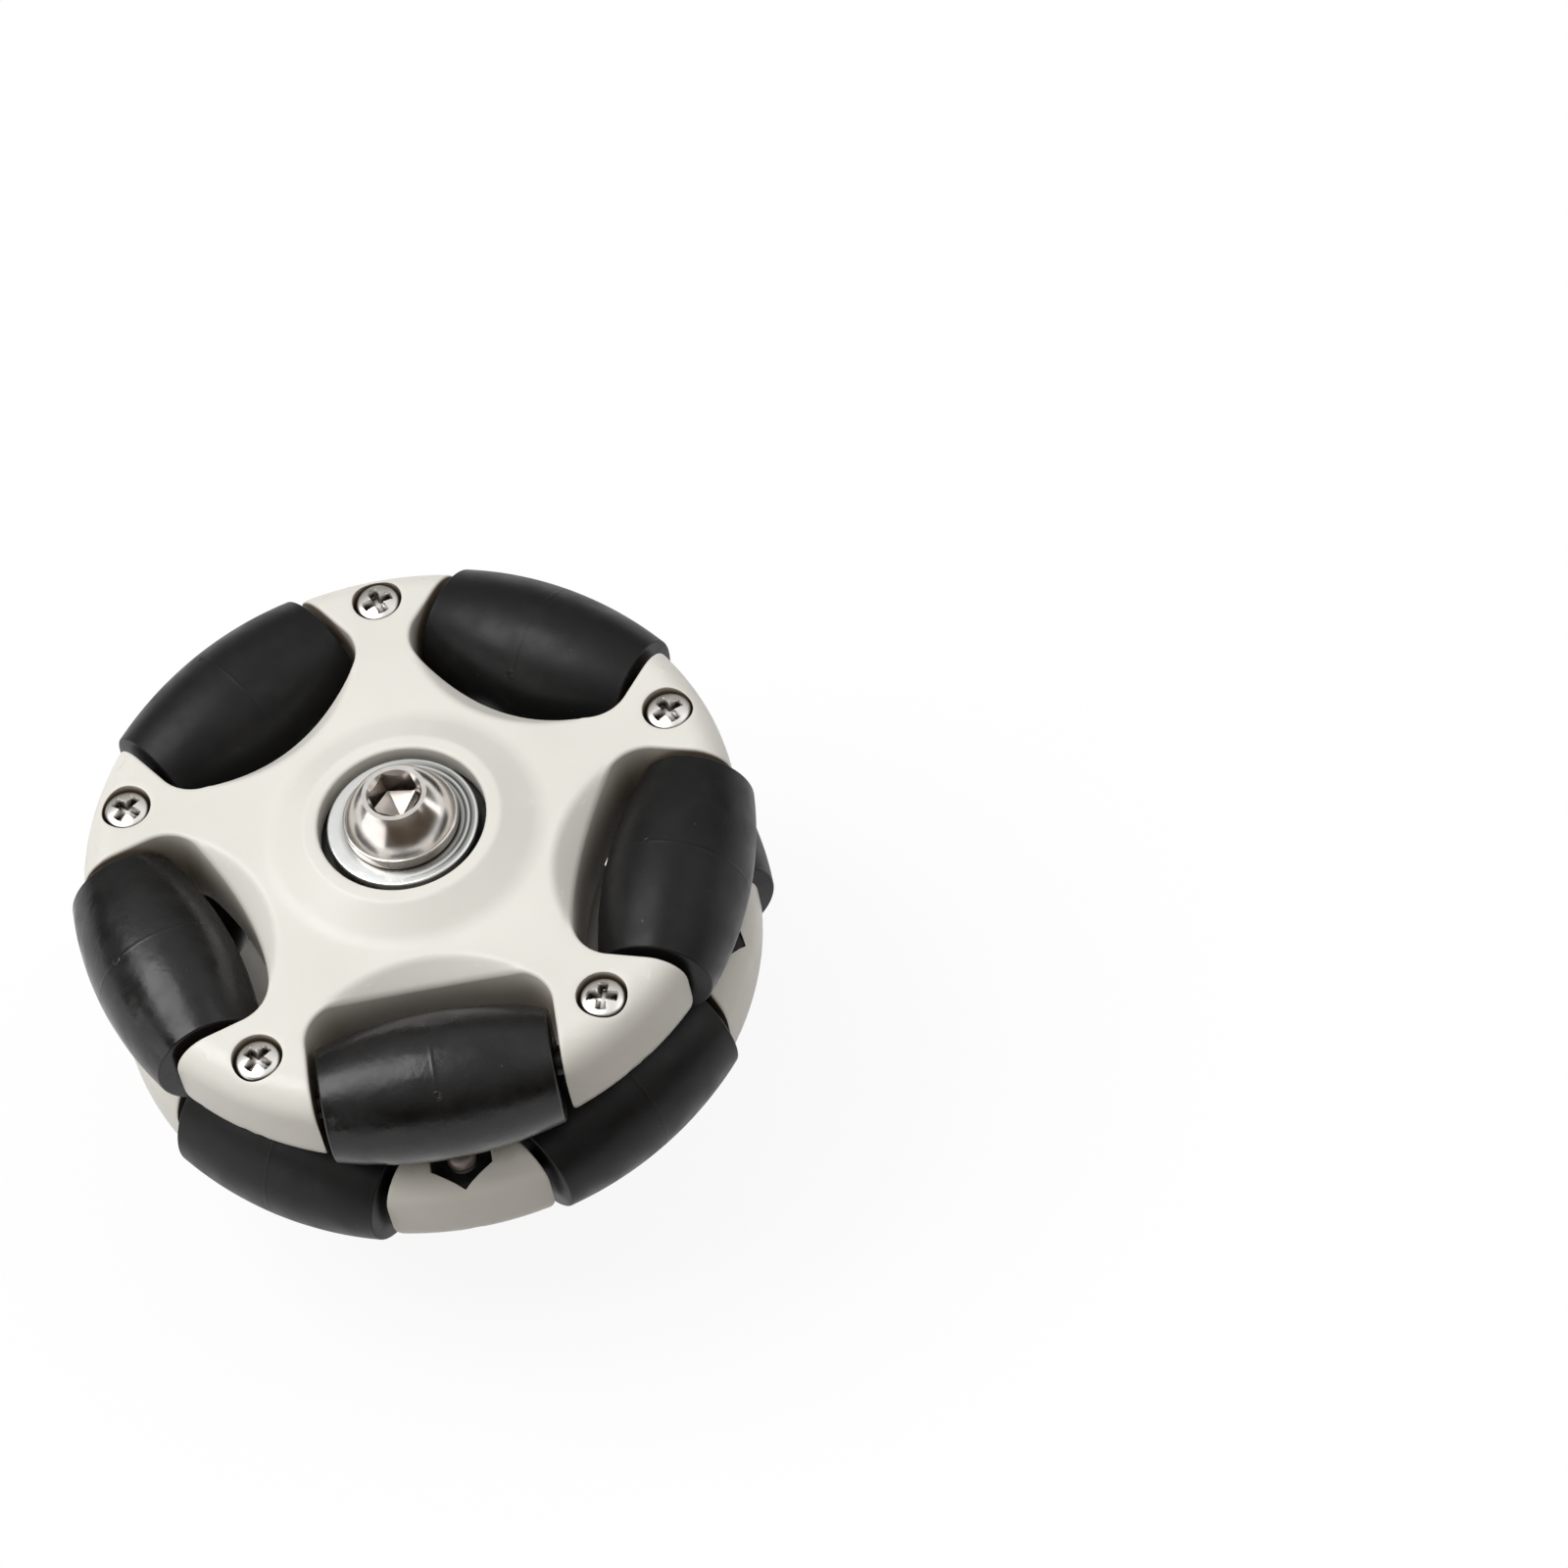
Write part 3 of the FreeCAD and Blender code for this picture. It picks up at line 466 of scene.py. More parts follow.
BOLT_RADIUS = 3.0
BOLT_TIP = -8.7
BOLT_TIP_RADIUS = 2.2
THREAD_PITCH = 1.0
THREAD_DEPTH = 0.54
THREAD_CREST = 0.125
THREAD_FLANK = 0.625
THREAD_END = 9.1
THREAD_ROWS_PER_PITCH = 10
HEAD_SEAT = 31.3
HEAD_TOP = 35.5
HEAD_RADIUS = 4.9
HEAD_LIP = 1.15
HEAD_DOME_RADIUS = 4.68
HEAD_TOP_RADIUS = 2.75
HEAD_DOME_ARC = 9.2
HEAD_ROUND = 0.15
LOWER_EDGE_STEPS = 3
UPPER_EDGE_STEPS = 4
DOME_STEPS = 16
SOCKET_FLATS = 4.0
SOCKET_DEPTH = 2.6
SOCKET_MOUTH = 2.35
SOCKET_CONE = SOCKET_FLATS / 4
SOCKET_CONE_TIP = 0.1
BOLT_STEPS = 96
BOLT_TURN = math.radians(20)
HEX_SIDES = 6
HEX_SIXTH = FULL_TURN / HEX_SIDES


def thread_radius(angle, level):
    """Radius of a right-hand thread at an angle and level, run out at its tip and its end."""
    place = (level / THREAD_PITCH - angle / FULL_TURN) % 1
    from_crest = abs(place - 0.5) * 2
    depth = min(max((from_crest - THREAD_CREST) / THREAD_FLANK, 0), 1)
    fade = min(1, (THREAD_END - level) / THREAD_PITCH)
    return min(BOLT_RADIUS - THREAD_DEPTH * depth * fade, BOLT_TIP_RADIUS + level - BOLT_TIP)


def hex_radius(angle):
    """Reach of the socket's hexagon, with a corner on the Y axis."""
    off_flat = (angle + HEX_SIXTH / 2) % HEX_SIXTH - HEX_SIXTH / 2
    return SOCKET_FLATS / 2 / math.cos(off_flat)


def head_profile():
    """Outline of the bolt's head from under its lip to the mouth of the socket."""
    lip_top = HEAD_SEAT + HEAD_LIP
    inside = HEAD_RADIUS - HEAD_ROUND
    profile = [(BOLT_RADIUS, HEAD_SEAT), (inside, HEAD_SEAT)]
    lip_foot = (HEAD_RADIUS, HEAD_SEAT + HEAD_ROUND)
    profile += bulge((inside, HEAD_SEAT), lip_foot, HEAD_ROUND, LOWER_EDGE_STEPS)[1:]
    profile += bulge((HEAD_RADIUS, lip_top - HEAD_ROUND), (inside, lip_top), HEAD_ROUND, UPPER_EDGE_STEPS)
    profile += bulge((HEAD_DOME_RADIUS, lip_top), (HEAD_TOP_RADIUS, HEAD_TOP), HEAD_DOME_ARC, DOME_STEPS)
    profile.append((SOCKET_MOUTH, HEAD_TOP))
    return profile


def axle_bolt():
    """Button-head bolt with its thread and hex socket."""
    rings = []
    rows = round((THREAD_END - BOLT_TIP) / THREAD_PITCH * THREAD_ROWS_PER_PITCH)
    for row in range(rows + 1):
        level = BOLT_TIP + (THREAD_END - BOLT_TIP) * row / rows
        rings.append(ring(lambda angle: thread_radius(angle, level), level, BOLT_STEPS))
    rings += [ring(radius, height, BOLT_STEPS) for radius, height in head_profile()]
    rings.append(ring(hex_radius, lambda angle: HEAD_TOP - SOCKET_MOUTH + hex_radius(angle), BOLT_STEPS))
    rings.append(ring(hex_radius, HEAD_TOP - SOCKET_DEPTH, BOLT_STEPS))
    rings.append(ring(SOCKET_CONE_TIP, HEAD_TOP - SOCKET_DEPTH - SOCKET_CONE, BOLT_STEPS))
    mesh = bmesh.new()
    skin(mesh, rings, turn=Matrix.Rotation(BOLT_TURN, 4, "Z"))
    stand_for(finished("axle_bolt_visual", mesh), "axle_bolt")


WASHER_SEAT = 29.7
WASHER_TOP = 31.3
WASHER_RADIUS = 6.45
WASHER_BORE = 3.2
WASHER_ROUND = 0.2
WASHER_BURR = 0.1


def axle_washer():
    """Stamped washer, its upper outer edge rolled over and its other edges broken."""
    inside, outside = WASHER_BORE + WASHER_BURR, WASHER_RADIUS - WASHER_BURR
    profile = [(WASHER_BORE, WASHER_SEAT + WASHER_BURR), (inside, WASHER_SEAT), (outside, WASHER_SEAT),
               (WASHER_RADIUS, WASHER_SEAT + WASHER_BURR)]
    rolled = (WASHER_RADIUS - WASHER_ROUND, WASHER_TOP)
    profile += bulge((WASHER_RADIUS, WASHER_TOP - WASHER_ROUND), rolled, WASHER_ROUND, ROUND_STEPS)
    profile += [(inside, WASHER_TOP), (WASHER_BORE, WASHER_TOP - WASHER_BURR)]
    mesh = bmesh.new()
    lathe(mesh, profile, BOLT_STEPS)
    stand_for(finished("axle_washer_visual", mesh), "axle_washer", WASHER_STEEL)


# Half shells, each a flat layout that is given an upper and a lower height

SHELL_FACE = 4.55
RIM_RADIUS = 27.9
RIM_ROUND = 2.9
RIM_RADII = [RIM_RADIUS - RIM_ROUND + RIM_ROUND * math.sin(angle) for angle in quarter_turn(10)]
BOSS_HEIGHT = 6.35
BOSS_TOP_RADIUS = 8.4
BOSS_FOOT_RADIUS = 11.6
BOSS_SLOPE = (BOSS_HEIGHT - SHELL_FACE) / (BOSS_FOOT_RADIUS - BOSS_TOP_RADIUS)
BOSS_EDGE_BLEND = 0.12
BOSS_FOOT_BLEND = 0.45
BORE_RADIUS = 7.15
BORE_ROUND = 0.3
SEAT_RADIUS = 9.52
OUTER_SEAT = 4.2
INNER_SEAT = 1.8
WINDOW_HALF = 10.347
WINDOW_CORNER = 3.6
WINDOW_ARC = 27.0
WINDOW_INNER = 14.9
WINDOW_ROUND = 0.35
ARC_CENTRE = Vector((0, -WINDOW_INNER - WINDOW_ARC))
CORNER_ACROSS = WINDOW_HALF - WINDOW_CORNER
CORNER_TURN = math.acos(CORNER_ACROSS / (WINDOW_ARC - WINDOW_CORNER))
CORNER_CENTRE = ARC_CENTRE + Vector((CORNER_ACROSS, (WINDOW_ARC - WINDOW_CORNER) * math.sin(CORNER_TURN)))
SCOOP_CENTRE = Vector((0, -25.8))
SCOOP_RADIUS = 12.8
SCOOP_DEPTH = 2.6
SCOOP_BLEND = 0.4
SCOOP_SWEEP = math.radians(44)
SCOOP_FADE = math.radians(38)
SCOOP_FADE_RISE = 6.0
SCREW_CIRCLE = 24.5
SCREW_PLACE = Vector((math.sin(SECTOR / 2), -math.cos(SECTOR / 2))) * SCREW_CIRCLE
SCREW_HOLE = 1.35
SCREW_SEAT = 2.9
COUNTERBORE = 2.15
SMALL_ROUND = 0.1
POCKET_HALF_FLATS = 2.6
POCKET_FLOOR = 1.2
HUB_RADIUS = 13.4
HUB_HEIGHT = 6.1
PEG_CIRCLE = 10.275
PEG_RADIUS = 1.2
PEG_HEIGHT = 1.2
PEG_FIT = 0.1
PEG_PLACE = SCREW_PLACE * (PEG_CIRCLE / SCREW_CIRCLE)
PEG_SOCKET_PLACE = Vector((0, -PEG_CIRCLE))
SLOT_RADIUS = 1.01
SLOT_END = 12.297
ROLLER_CIRCLE = 22.85
STEP_WIDTH = 0.01


def fold(place):
    """The same place in the sector of the window on the -Y side, with X made positive."""
    angle = math.atan2(place.x, -place.y)
    angle -= SECTOR * round(angle / SECTOR)
    return Vector((abs(math.sin(angle)), -math.cos(angle))) * place.length


def from_window(near):
    """How far a folded place lies outside the roller window."""
    off = near - CORNER_CENTRE
    if off.y < 0:
        return near.x - WINDOW_HALF
    if math.atan2(off.y, off.x) < CORNER_TURN:
        return off.length - WINDOW_CORNER
    return (near - ARC_CENTRE).length - WINDOW_ARC


def hex_reach(near):
    """How far a folded place lies from the middle of the nut pocket, measured to the hexagon's flats."""
    off = near - SCREW_PLACE
    along = abs(off.dot(SCREW_PLACE)) / SCREW_CIRCLE
    across = math.sqrt(max(off.length_squared - along ** 2, 0))
    return max(across, along * math.cos(HEX_SIXTH / 2) + across * math.sin(HEX_SIXTH / 2))


def rounded(distance, radius):
    """How much a rounded edge has dropped at a distance from its wall."""
    if distance >= radius:
        return 0
    return radius - math.sqrt(radius ** 2 - (radius - max(distance, 0)) ** 2)


def soft_min(first, second, width):
    """The lower of two heights, blended where they are closer than width."""
    share = max(width - abs(first - second), 0) / width
    return min(first, second) - share ** 2 * width / 4


def soft_max(first, second, width):
    """The higher of two heights, blended where they are closer than width."""
    return -soft_min(-first, -second, width)


def face_height(radius):
    """The plain face and its rounded rim."""
    start = RIM_RADIUS - RIM_ROUND
    if radius <= start:
        return SHELL_FACE
    return SHELL_FACE - RIM_ROUND + math.sqrt(max(RIM_ROUND ** 2 - (radius - start) ** 2, 0))


def outer_top(place):
    """Face of an outer shell: rim, boss, washer recess, scoops and counterbores."""
    near = fold(place)
    from_screw = (near - SCREW_PLACE).length
    if from_screw < COUNTERBORE + STEP_WIDTH / 2:
        return SCREW_SEAT
    cone = BOSS_HEIGHT - BOSS_SLOPE * (place.length - BOSS_TOP_RADIUS)
    boss = soft_min(cone, BOSS_HEIGHT, BOSS_EDGE_BLEND)
    height = soft_max(face_height(place.length), boss, BOSS_FOOT_BLEND)
    off = near - SCOOP_CENTRE
    turn = math.atan2(off.x, off.y)
    if turn < SCOOP_SWEEP:
        slope = SHELL_FACE - SCOOP_RADIUS + off.length + SCOOP_FADE_RISE * max(turn - SCOOP_FADE, 0)
        height = soft_min(height, max(slope, SHELL_FACE - SCOOP_DEPTH), SCOOP_BLEND)
    height -= rounded(from_window(near), WINDOW_ROUND)
    height -= rounded(from_screw - COUNTERBORE, SMALL_ROUND)
    return height - rounded(place.length - BORE_RADIUS, BORE_ROUND)


def inner_top(place):
    """Face of an inner shell, as a height: rim, nut pockets, hub, pegs and their sockets."""
    near = fold(place)
    reach = hex_reach(near)
    if reach < POCKET_HALF_FLATS + STEP_WIDTH / 2:
        return POCKET_FLOOR
    if place.length < HUB_RADIUS + STEP_WIDTH / 2:
        if (near - PEG_PLACE).length < PEG_RADIUS + STEP_WIDTH / 2:
            return HUB_HEIGHT + PEG_HEIGHT
        if (near - PEG_SOCKET_PLACE).length < PEG_RADIUS + PEG_FIT + STEP_WIDTH / 2:
            return HUB_HEIGHT - PEG_HEIGHT - PEG_FIT
        return HUB_HEIGHT
    height = face_height(place.length) - rounded(from_window(near), WINDOW_ROUND)
    return height - rounded(reach - POCKET_HALF_FLATS, SMALL_ROUND)


def split_face(place, seat):
    """The face where two half shells meet: the bearing's seat, the half-round pin slots, or flat."""
    if place.length < SEAT_RADIUS + STEP_WIDTH / 2:
        return seat
    near = fold(place)
    off = near.y + ROLLER_CIRCLE
    if near.x < SLOT_END + STEP_WIDTH / 2 and abs(off) < SLOT_RADIUS:
        return math.sqrt(SLOT_RADIUS ** 2 - off ** 2)
    return 0


# Layouts of the half shells: where the corners of their triangles lie

LAYOUT_GAP = 0.65
EDGE_ROUND_LINES = [WINDOW_ROUND * (1 - math.cos(angle)) for angle in quarter_turn(15)]
EDGE_OUTER_LINE = 0.75
EDGE_CLEAR = EDGE_OUTER_LINE + LAYOUT_GAP / 2
HOLE_POINTS = 48
HEX_SIDE_POINTS = 4
SLOT_ANGLES = range(-90, 91, 15)
BORE_CIRCLES = [BORE_RADIUS + BORE_ROUND * (1 - math.cos(angle)) for angle in quarter_turn(18)]
BORE_OUTER_CIRCLE = 7.8
BOSS_EDGE_HALF = 0.3
BOSS_EDGE_GAP = 0.1
SEAT_CIRCLES = [SEAT_RADIUS, SEAT_RADIUS + STEP_WIDTH]
BOSS_FLANK_CIRCLE = 10.2
BOSS_FOOT_START = 10.7
BOSS_FOOT_GAP = 0.2
HEAD_CIRCLE = 2.7
CREASE_HALF = 0.6
CREASE_GAP = 0.15
CREASE_CLEAR = 0.8
SEAT_MIDDLE_CIRCLE = 8.3
HUB_MIDDLE_CIRCLE = 12.2
MERGE_LIMIT = 1e-6
WINDOW_SLACK = 1e-4


def spaced(start, end, gap):
    """Values from start to end, no more than gap apart."""
    count = max(1, math.ceil(abs(end - start) / gap))
    return [start + (end - start) * step / count for step in range(count + 1)]


def arc(centre, radius, start, end, gap):
    """Points of an arc, no more than gap apart."""
    angles = spaced(start, end, gap / radius)
    return [centre + Vector((math.cos(angle), math.sin(angle))) * radius for angle in angles]


def window_line(away):
    """The window's outline at a distance outside it, from rim to rim."""
    side = WINDOW_HALF + away
    levels = [-math.sqrt(radius ** 2 - side ** 2) for radius in reversed(RIM_RADII)]
    levels += spaced(levels[-1], CORNER_CENTRE.y, LAYOUT_GAP)[1:]
    half = [Vector((side, level)) for level in levels]
    half += arc(CORNER_CENTRE, WINDOW_CORNER + away, 0, CORNER_TURN, LAYOUT_GAP / 2)[1:]
    half += arc(ARC_CENTRE, WINDOW_ARC + away, CORNER_TURN, math.pi / 2, LAYOUT_GAP)[1:]
    return half + [Vector((-point.x, point.y)) for point in reversed(half[:-1])]


def hex_line(half_flats):
    """A closed hexagon round the screw's place, with a corner on the line to the axle."""
    inward = -SCREW_PLACE.normalized()
    corner = half_flats / math.cos(HEX_SIXTH / 2)
    turns = [Matrix.Rotation(HEX_SIXTH * side, 2) for side in range(HEX_SIDES + 1)]
    corners = [SCREW_PLACE + turn @ inward * corner for turn in turns]
    points = []
    for first, second in zip(corners, corners[1:]):
        points += [first.lerp(second, step / HEX_SIDE_POINTS) for step in range(HEX_SIDE_POINTS)]
    return points


class Layout:
    """Points and lines in a plane, repeated in each sector and joined into triangles."""

    def __init__(self):
        self.points = []
        self.lines = []

    def line(self, points, closed=False):
        """A line through points in each sector."""
        for sector in range(ROLLERS_PER_ROW):
            turn = Matrix.Rotation(SECTOR * sector, 2)
            first = len(self.points)
            self.points += [turn @ point for point in points]
            self.lines += [(first + index, first + index + 1) for index in range(len(points) - 1)]
            if closed:
                self.lines.append((len(self.points) - 1, first))

    def circle(self, centre, radius):
        """A closed circle in each sector."""
        points = [centre + Vector((point.x, point.y)) for point in ring(radius, 0, HOLE_POINTS)]
        self.line(points, closed=True)

    def about_axle(self, radii):
        """Whole circles about the axle."""
        for radius in radii:
            count = round(FULL_TURN * round(radius) / LAYOUT_GAP / ROLLERS_PER_ROW)
            self.line(arc(Vector((0, 0)), radius, 0, SECTOR, SECTOR * radius / count))

    def fill(self, clear):
        """Loose points on circles about the axle, wherever clear says that the place is free."""
        radii = spaced(HUB_RADIUS + LAYOUT_GAP, RIM_RADII[0], LAYOUT_GAP) + RIM_RADII[1:]
        for radius in radii:
            around = FULL_TURN * min(radius, RIM_RADII[0])
            count = ROLLERS_PER_ROW * round(around / LAYOUT_GAP / ROLLERS_PER_ROW)
            for point in ring(radius, 0, count):
                place = Vector((point.x, point.y))
                if clear(fold(place)):
                    self.points.append(place)

    def triangles(self):
        """Corner points and the triangles that lie in the plastic."""
        places, _, faces, *_ = delaunay_2d_cdt(self.points, self.lines, [], 0, MERGE_LIMIT)
        kept = []
        for face in faces:
            middle = sum((places[index] for index in face), Vector((0, 0))) / len(face)
            near = fold(middle)
            in_ring = BORE_RADIUS - STEP_WIDTH < middle.length < RIM_RADIUS
            off_hole = (near - SCREW_PLACE).length > SCREW_HOLE - STEP_WIDTH
            if in_ring and off_hole and from_window(near) > -WINDOW_SLACK:
                kept.append(face)
        return places, kept


def common_layout():
    """Lines that both kinds of half shell need: windows, pin slots and screw holes."""
    layout = Layout()
    for away in EDGE_ROUND_LINES + [EDGE_OUTER_LINE]:
        layout.line(window_line(away))
    for side in (-1, 1):
        for angle in SLOT_ANGLES:
            level = SLOT_RADIUS * math.sin(math.radians(angle)) - ROLLER_CIRCLE
            ends = (WINDOW_HALF, SLOT_END, SLOT_END + STEP_WIDTH)
            layout.line([Vector((side * across, level)) for across in ends])
        for across in (SLOT_END, SLOT_END + STEP_WIDTH):
            layout.line([Vector((side * across, off - ROLLER_CIRCLE)) for off in (-SLOT_RADIUS, SLOT_RADIUS)])
    layout.circle(SCREW_PLACE, SCREW_HOLE)
    return layout


def edge_sizes(size, rounding):
    """Sizes at which a stepped and rounded edge is drawn."""
    return [size, size + STEP_WIDTH, size + rounding / 3, size + rounding]


def outer_layout():
    """Triangles of an outer shell, small where its face bends."""
    layout = common_layout()
    boss_edge = spaced(BOSS_TOP_RADIUS - BOSS_EDGE_HALF, BOSS_TOP_RADIUS + BOSS_EDGE_HALF, BOSS_EDGE_GAP)
    boss_foot = spaced(BOSS_FOOT_START, HUB_RADIUS, BOSS_FOOT_GAP)
    layout.about_axle(BORE_CIRCLES + [BORE_OUTER_CIRCLE] + boss_edge + SEAT_CIRCLES)
    layout.about_axle([BOSS_FLANK_CIRCLE] + boss_foot)
    for size in edge_sizes(COUNTERBORE, SMALL_ROUND) + [HEAD_CIRCLE]:
        layout.circle(SCREW_PLACE, size)
    start = math.pi / 2 - SCOOP_SWEEP
    for off in spaced(-CREASE_HALF, CREASE_HALF, CREASE_GAP):
        crease = arc(SCOOP_CENTRE, SCOOP_RADIUS + off, start, math.pi - start, LAYOUT_GAP)
        layout.line([point for point in crease if from_window(fold(point)) > EDGE_OUTER_LINE])

    def clear(near):
        """Whether a folded place lies off the lines above."""
        from_crease = abs((near - SCOOP_CENTRE).length - SCOOP_RADIUS)
        off_crease = from_crease > CREASE_CLEAR or near.y < CORNER_CENTRE.y
        off_screw = (near - SCREW_PLACE).length > HEAD_CIRCLE + LAYOUT_GAP / 2
        return from_window(near) > EDGE_CLEAR and off_crease and off_screw

    layout.fill(clear)
    return layout.triangles()


def inner_layout():
    """Triangles of an inner shell, small round its pockets, pegs and sockets."""
    layout = common_layout()
    hub = [HUB_MIDDLE_CIRCLE, HUB_RADIUS, HUB_RADIUS + STEP_WIDTH]
    layout.about_axle([BORE_RADIUS, SEAT_MIDDLE_CIRCLE] + SEAT_CIRCLES + hub)
    for size in edge_sizes(POCKET_HALF_FLATS, SMALL_ROUND):
        layout.line(hex_line(size), closed=True)
    for centre, radius in ((PEG_PLACE, PEG_RADIUS), (PEG_SOCKET_PLACE, PEG_RADIUS + PEG_FIT)):
        for size in (radius, radius + STEP_WIDTH):
            layout.circle(centre, size)

    def clear(near):
        """Whether a folded place lies off the lines above."""
        return from_window(near) > EDGE_CLEAR and hex_reach(near) > POCKET_HALF_FLATS + LAYOUT_GAP

    layout.fill(clear)
    return layout.triangles()


def shell(node, layout, top, seat, turn):
    """A solid between the two heights of a layout."""
    places, faces = layout
    used = {index for face in faces for index in face}
    mesh = bmesh.new()
    upper = {}
    lower = {}
    for index in used:
        place = places[index]
        upper[index] = mesh.verts.new(turn @ (Vector((place.x, place.y, top(place))) * MM))
        lower[index] = mesh.verts.new(turn @ (Vector((place.x, place.y, split_face(place, seat))) * MM))
    sides = set()
    for face in faces:
        mesh.faces.new([upper[index] for index in face])
        mesh.faces.new([lower[index] for index in reversed(face)])
        for pair in zip(face, face[1:] + face[:1]):
            if pair[::-1] in sides:
                sides.remove(pair[::-1])
            else:
                sides.add(pair)
    for first, second in sides:
        mesh.faces.new((upper[second], upper[first], lower[first], lower[second]))
    stand_for(finished(f"{node}_visual", mesh), node)


# Shell screws

SCREW_HEAD_RADIUS = 2.05
SCREW_HEAD_EDGE = 1.05
SCREW_HEAD_HEIGHT = 1.55
SCREW_HEAD_ROUND = 0.35
SCREW_RADIUS = 1.25
SCREW_LENGTH = 7.0
SCREW_END = [(0.2, 0), (0.6, 0.06), (0.95, 0.2), (1.15, 0.4), (SCREW_RADIUS, 0.7)]
SCREW_STEPS = 80
SCREW_RINGS = 26
SCREW_RING_CROWDING = 1.4
SCREW_SHARP_DEGREES = 40
CROSS_HALF_WIDTH = 0.42
CROSS_REACH = 1.3
CROSS_DEPTH = 0.85
CROSS_TAPER = 0.22
SCREW_SPINS = {"front": (20, 65, 80, 40, 10), "rear": (15, 70, 35, 55, 5)}


def cross_depth(place):
    """Depth of the tapered cross recess at a place on the head."""
    across, along = sorted((abs(place.x), abs(place.y)))
    inside = min(CROSS_HALF_WIDTH - across, CROSS_REACH - along)
    return CROSS_DEPTH * min(max(inside / CROSS_TAPER, 0), 1)


def screw_head_height(radius):
    """Domed top of the head with a rounded shoulder."""
    crown = SCREW_HEAD_HEIGHT - SCREW_HEAD_EDGE
    dome = (SCREW_HEAD_RADIUS ** 2 + crown ** 2) / (2 * crown)
    height = SCREW_HEAD_HEIGHT - dome + math.sqrt(dome ** 2 - radius ** 2)
    return height - rounded(SCREW_HEAD_RADIUS - radius, SCREW_HEAD_ROUND)


def shell_screws(row, turn):
    """The five cross-recess screws of a row."""
    mesh = bmesh.new()
    outline = [ring(radius, rise - SCREW_LENGTH, SCREW_STEPS) for radius, rise in SCREW_END]
    outline.append(ring(SCREW_RADIUS, 0, SCREW_STEPS))
    outline.append(ring(SCREW_HEAD_RADIUS, 0, SCREW_STEPS))
    for step in range(SCREW_RINGS):
        radius = SCREW_HEAD_RADIUS * (1 - (step / SCREW_RINGS) ** SCREW_RING_CROWDING)
        points = ring(radius, screw_head_height(radius), SCREW_STEPS)
        outline.append([point - Vector((0, 0, cross_depth(point))) for point in points])
    seat = Matrix.Translation((0, SCREW_CIRCLE * MM, SCREW_SEAT * MM))
    for number, spin in enumerate(SCREW_SPINS[row]):
        place = Matrix.Rotation(SECTOR * number, 4, "Z") @ seat
        skin(mesh, outline, turn=turn @ place @ Matrix.Rotation(math.radians(spin), 4, "Z"))
    node = f"{row}_shell_screws"
    stand_for(finished(f"{node}_visual", mesh, SCREW_SHARP_DEGREES), node, SCREW_STEEL)


# All pieces

for node, piece in nodes.items():
    piece.material_slots[0].material = MATERIALS[slots[node]]
random.seed(GATE_SEED)
OUTER_LAYOUT = outer_layout()
INNER_LAYOUT = inner_layout()
for row in ROWS:
    turn = Matrix.Translation((0, 0, ROW_MIDDLE[row] * MM))
    if row == "rear":
        turn = turn @ Matrix.Rotation(math.pi, 4, "X")
    shell(f"{row}_outer_shell", OUTER_LAYOUT, outer_top, OUTER_SEAT, turn)
    shell(f"{row}_inner_shell", INNER_LAYOUT, inner_top, INNER_SEAT, turn @ Matrix.Scale(-1, 4, (0, 0, 1)))
    shell_screws(row, turn)
    for number in range(1, ROLLERS_PER_ROW + 1):
        roller(f"{row}_roller_{number}")
axle_bolt()
axle_washer()


# Stage, light and camera, with places in metres

FLOOR_HALF = 3.0
FLOOR_GLOW = 0.9
FLOOR_TONE = (0.3, 0.28, 0.26)
BACKGROUND_RAYS = ("Is Camera Ray", "Is Glossy Ray", "Is Transmission Ray")
LAMP_AIM = Vector((0, 0, 0.02))
BACK_SKY = ((0.0, (0.13, 0.12, 0.11)),
            (0.45, (0.32, 0.31, 0.29)),
            (0.8, (0.84, 0.84, 0.84)),
            (1.0, (0.7, 0.7, 0.7)))
FRONT_SKY = ((0.0, (0.06, 0.045, 0.03)),
             (0.4, (0.10, 0.075, 0.055)),
             (0.75, (0.48, 0.47, 0.45)),
             (1.0, (0.7, 0.7, 0.7)))
SIDE_BLEND = 0.45
AIM = Vector((0.03168, 0.00517, 0.0194))
AZIMUTH = math.radians(2.349)
ELEVATION = math.radians(54.643)
ROLL = math.radians(-12.253)
DISTANCE = 0.55598
LENS = 149.29
SENSOR_WIDTH = 36
NEAREST_SEEN = 0.01


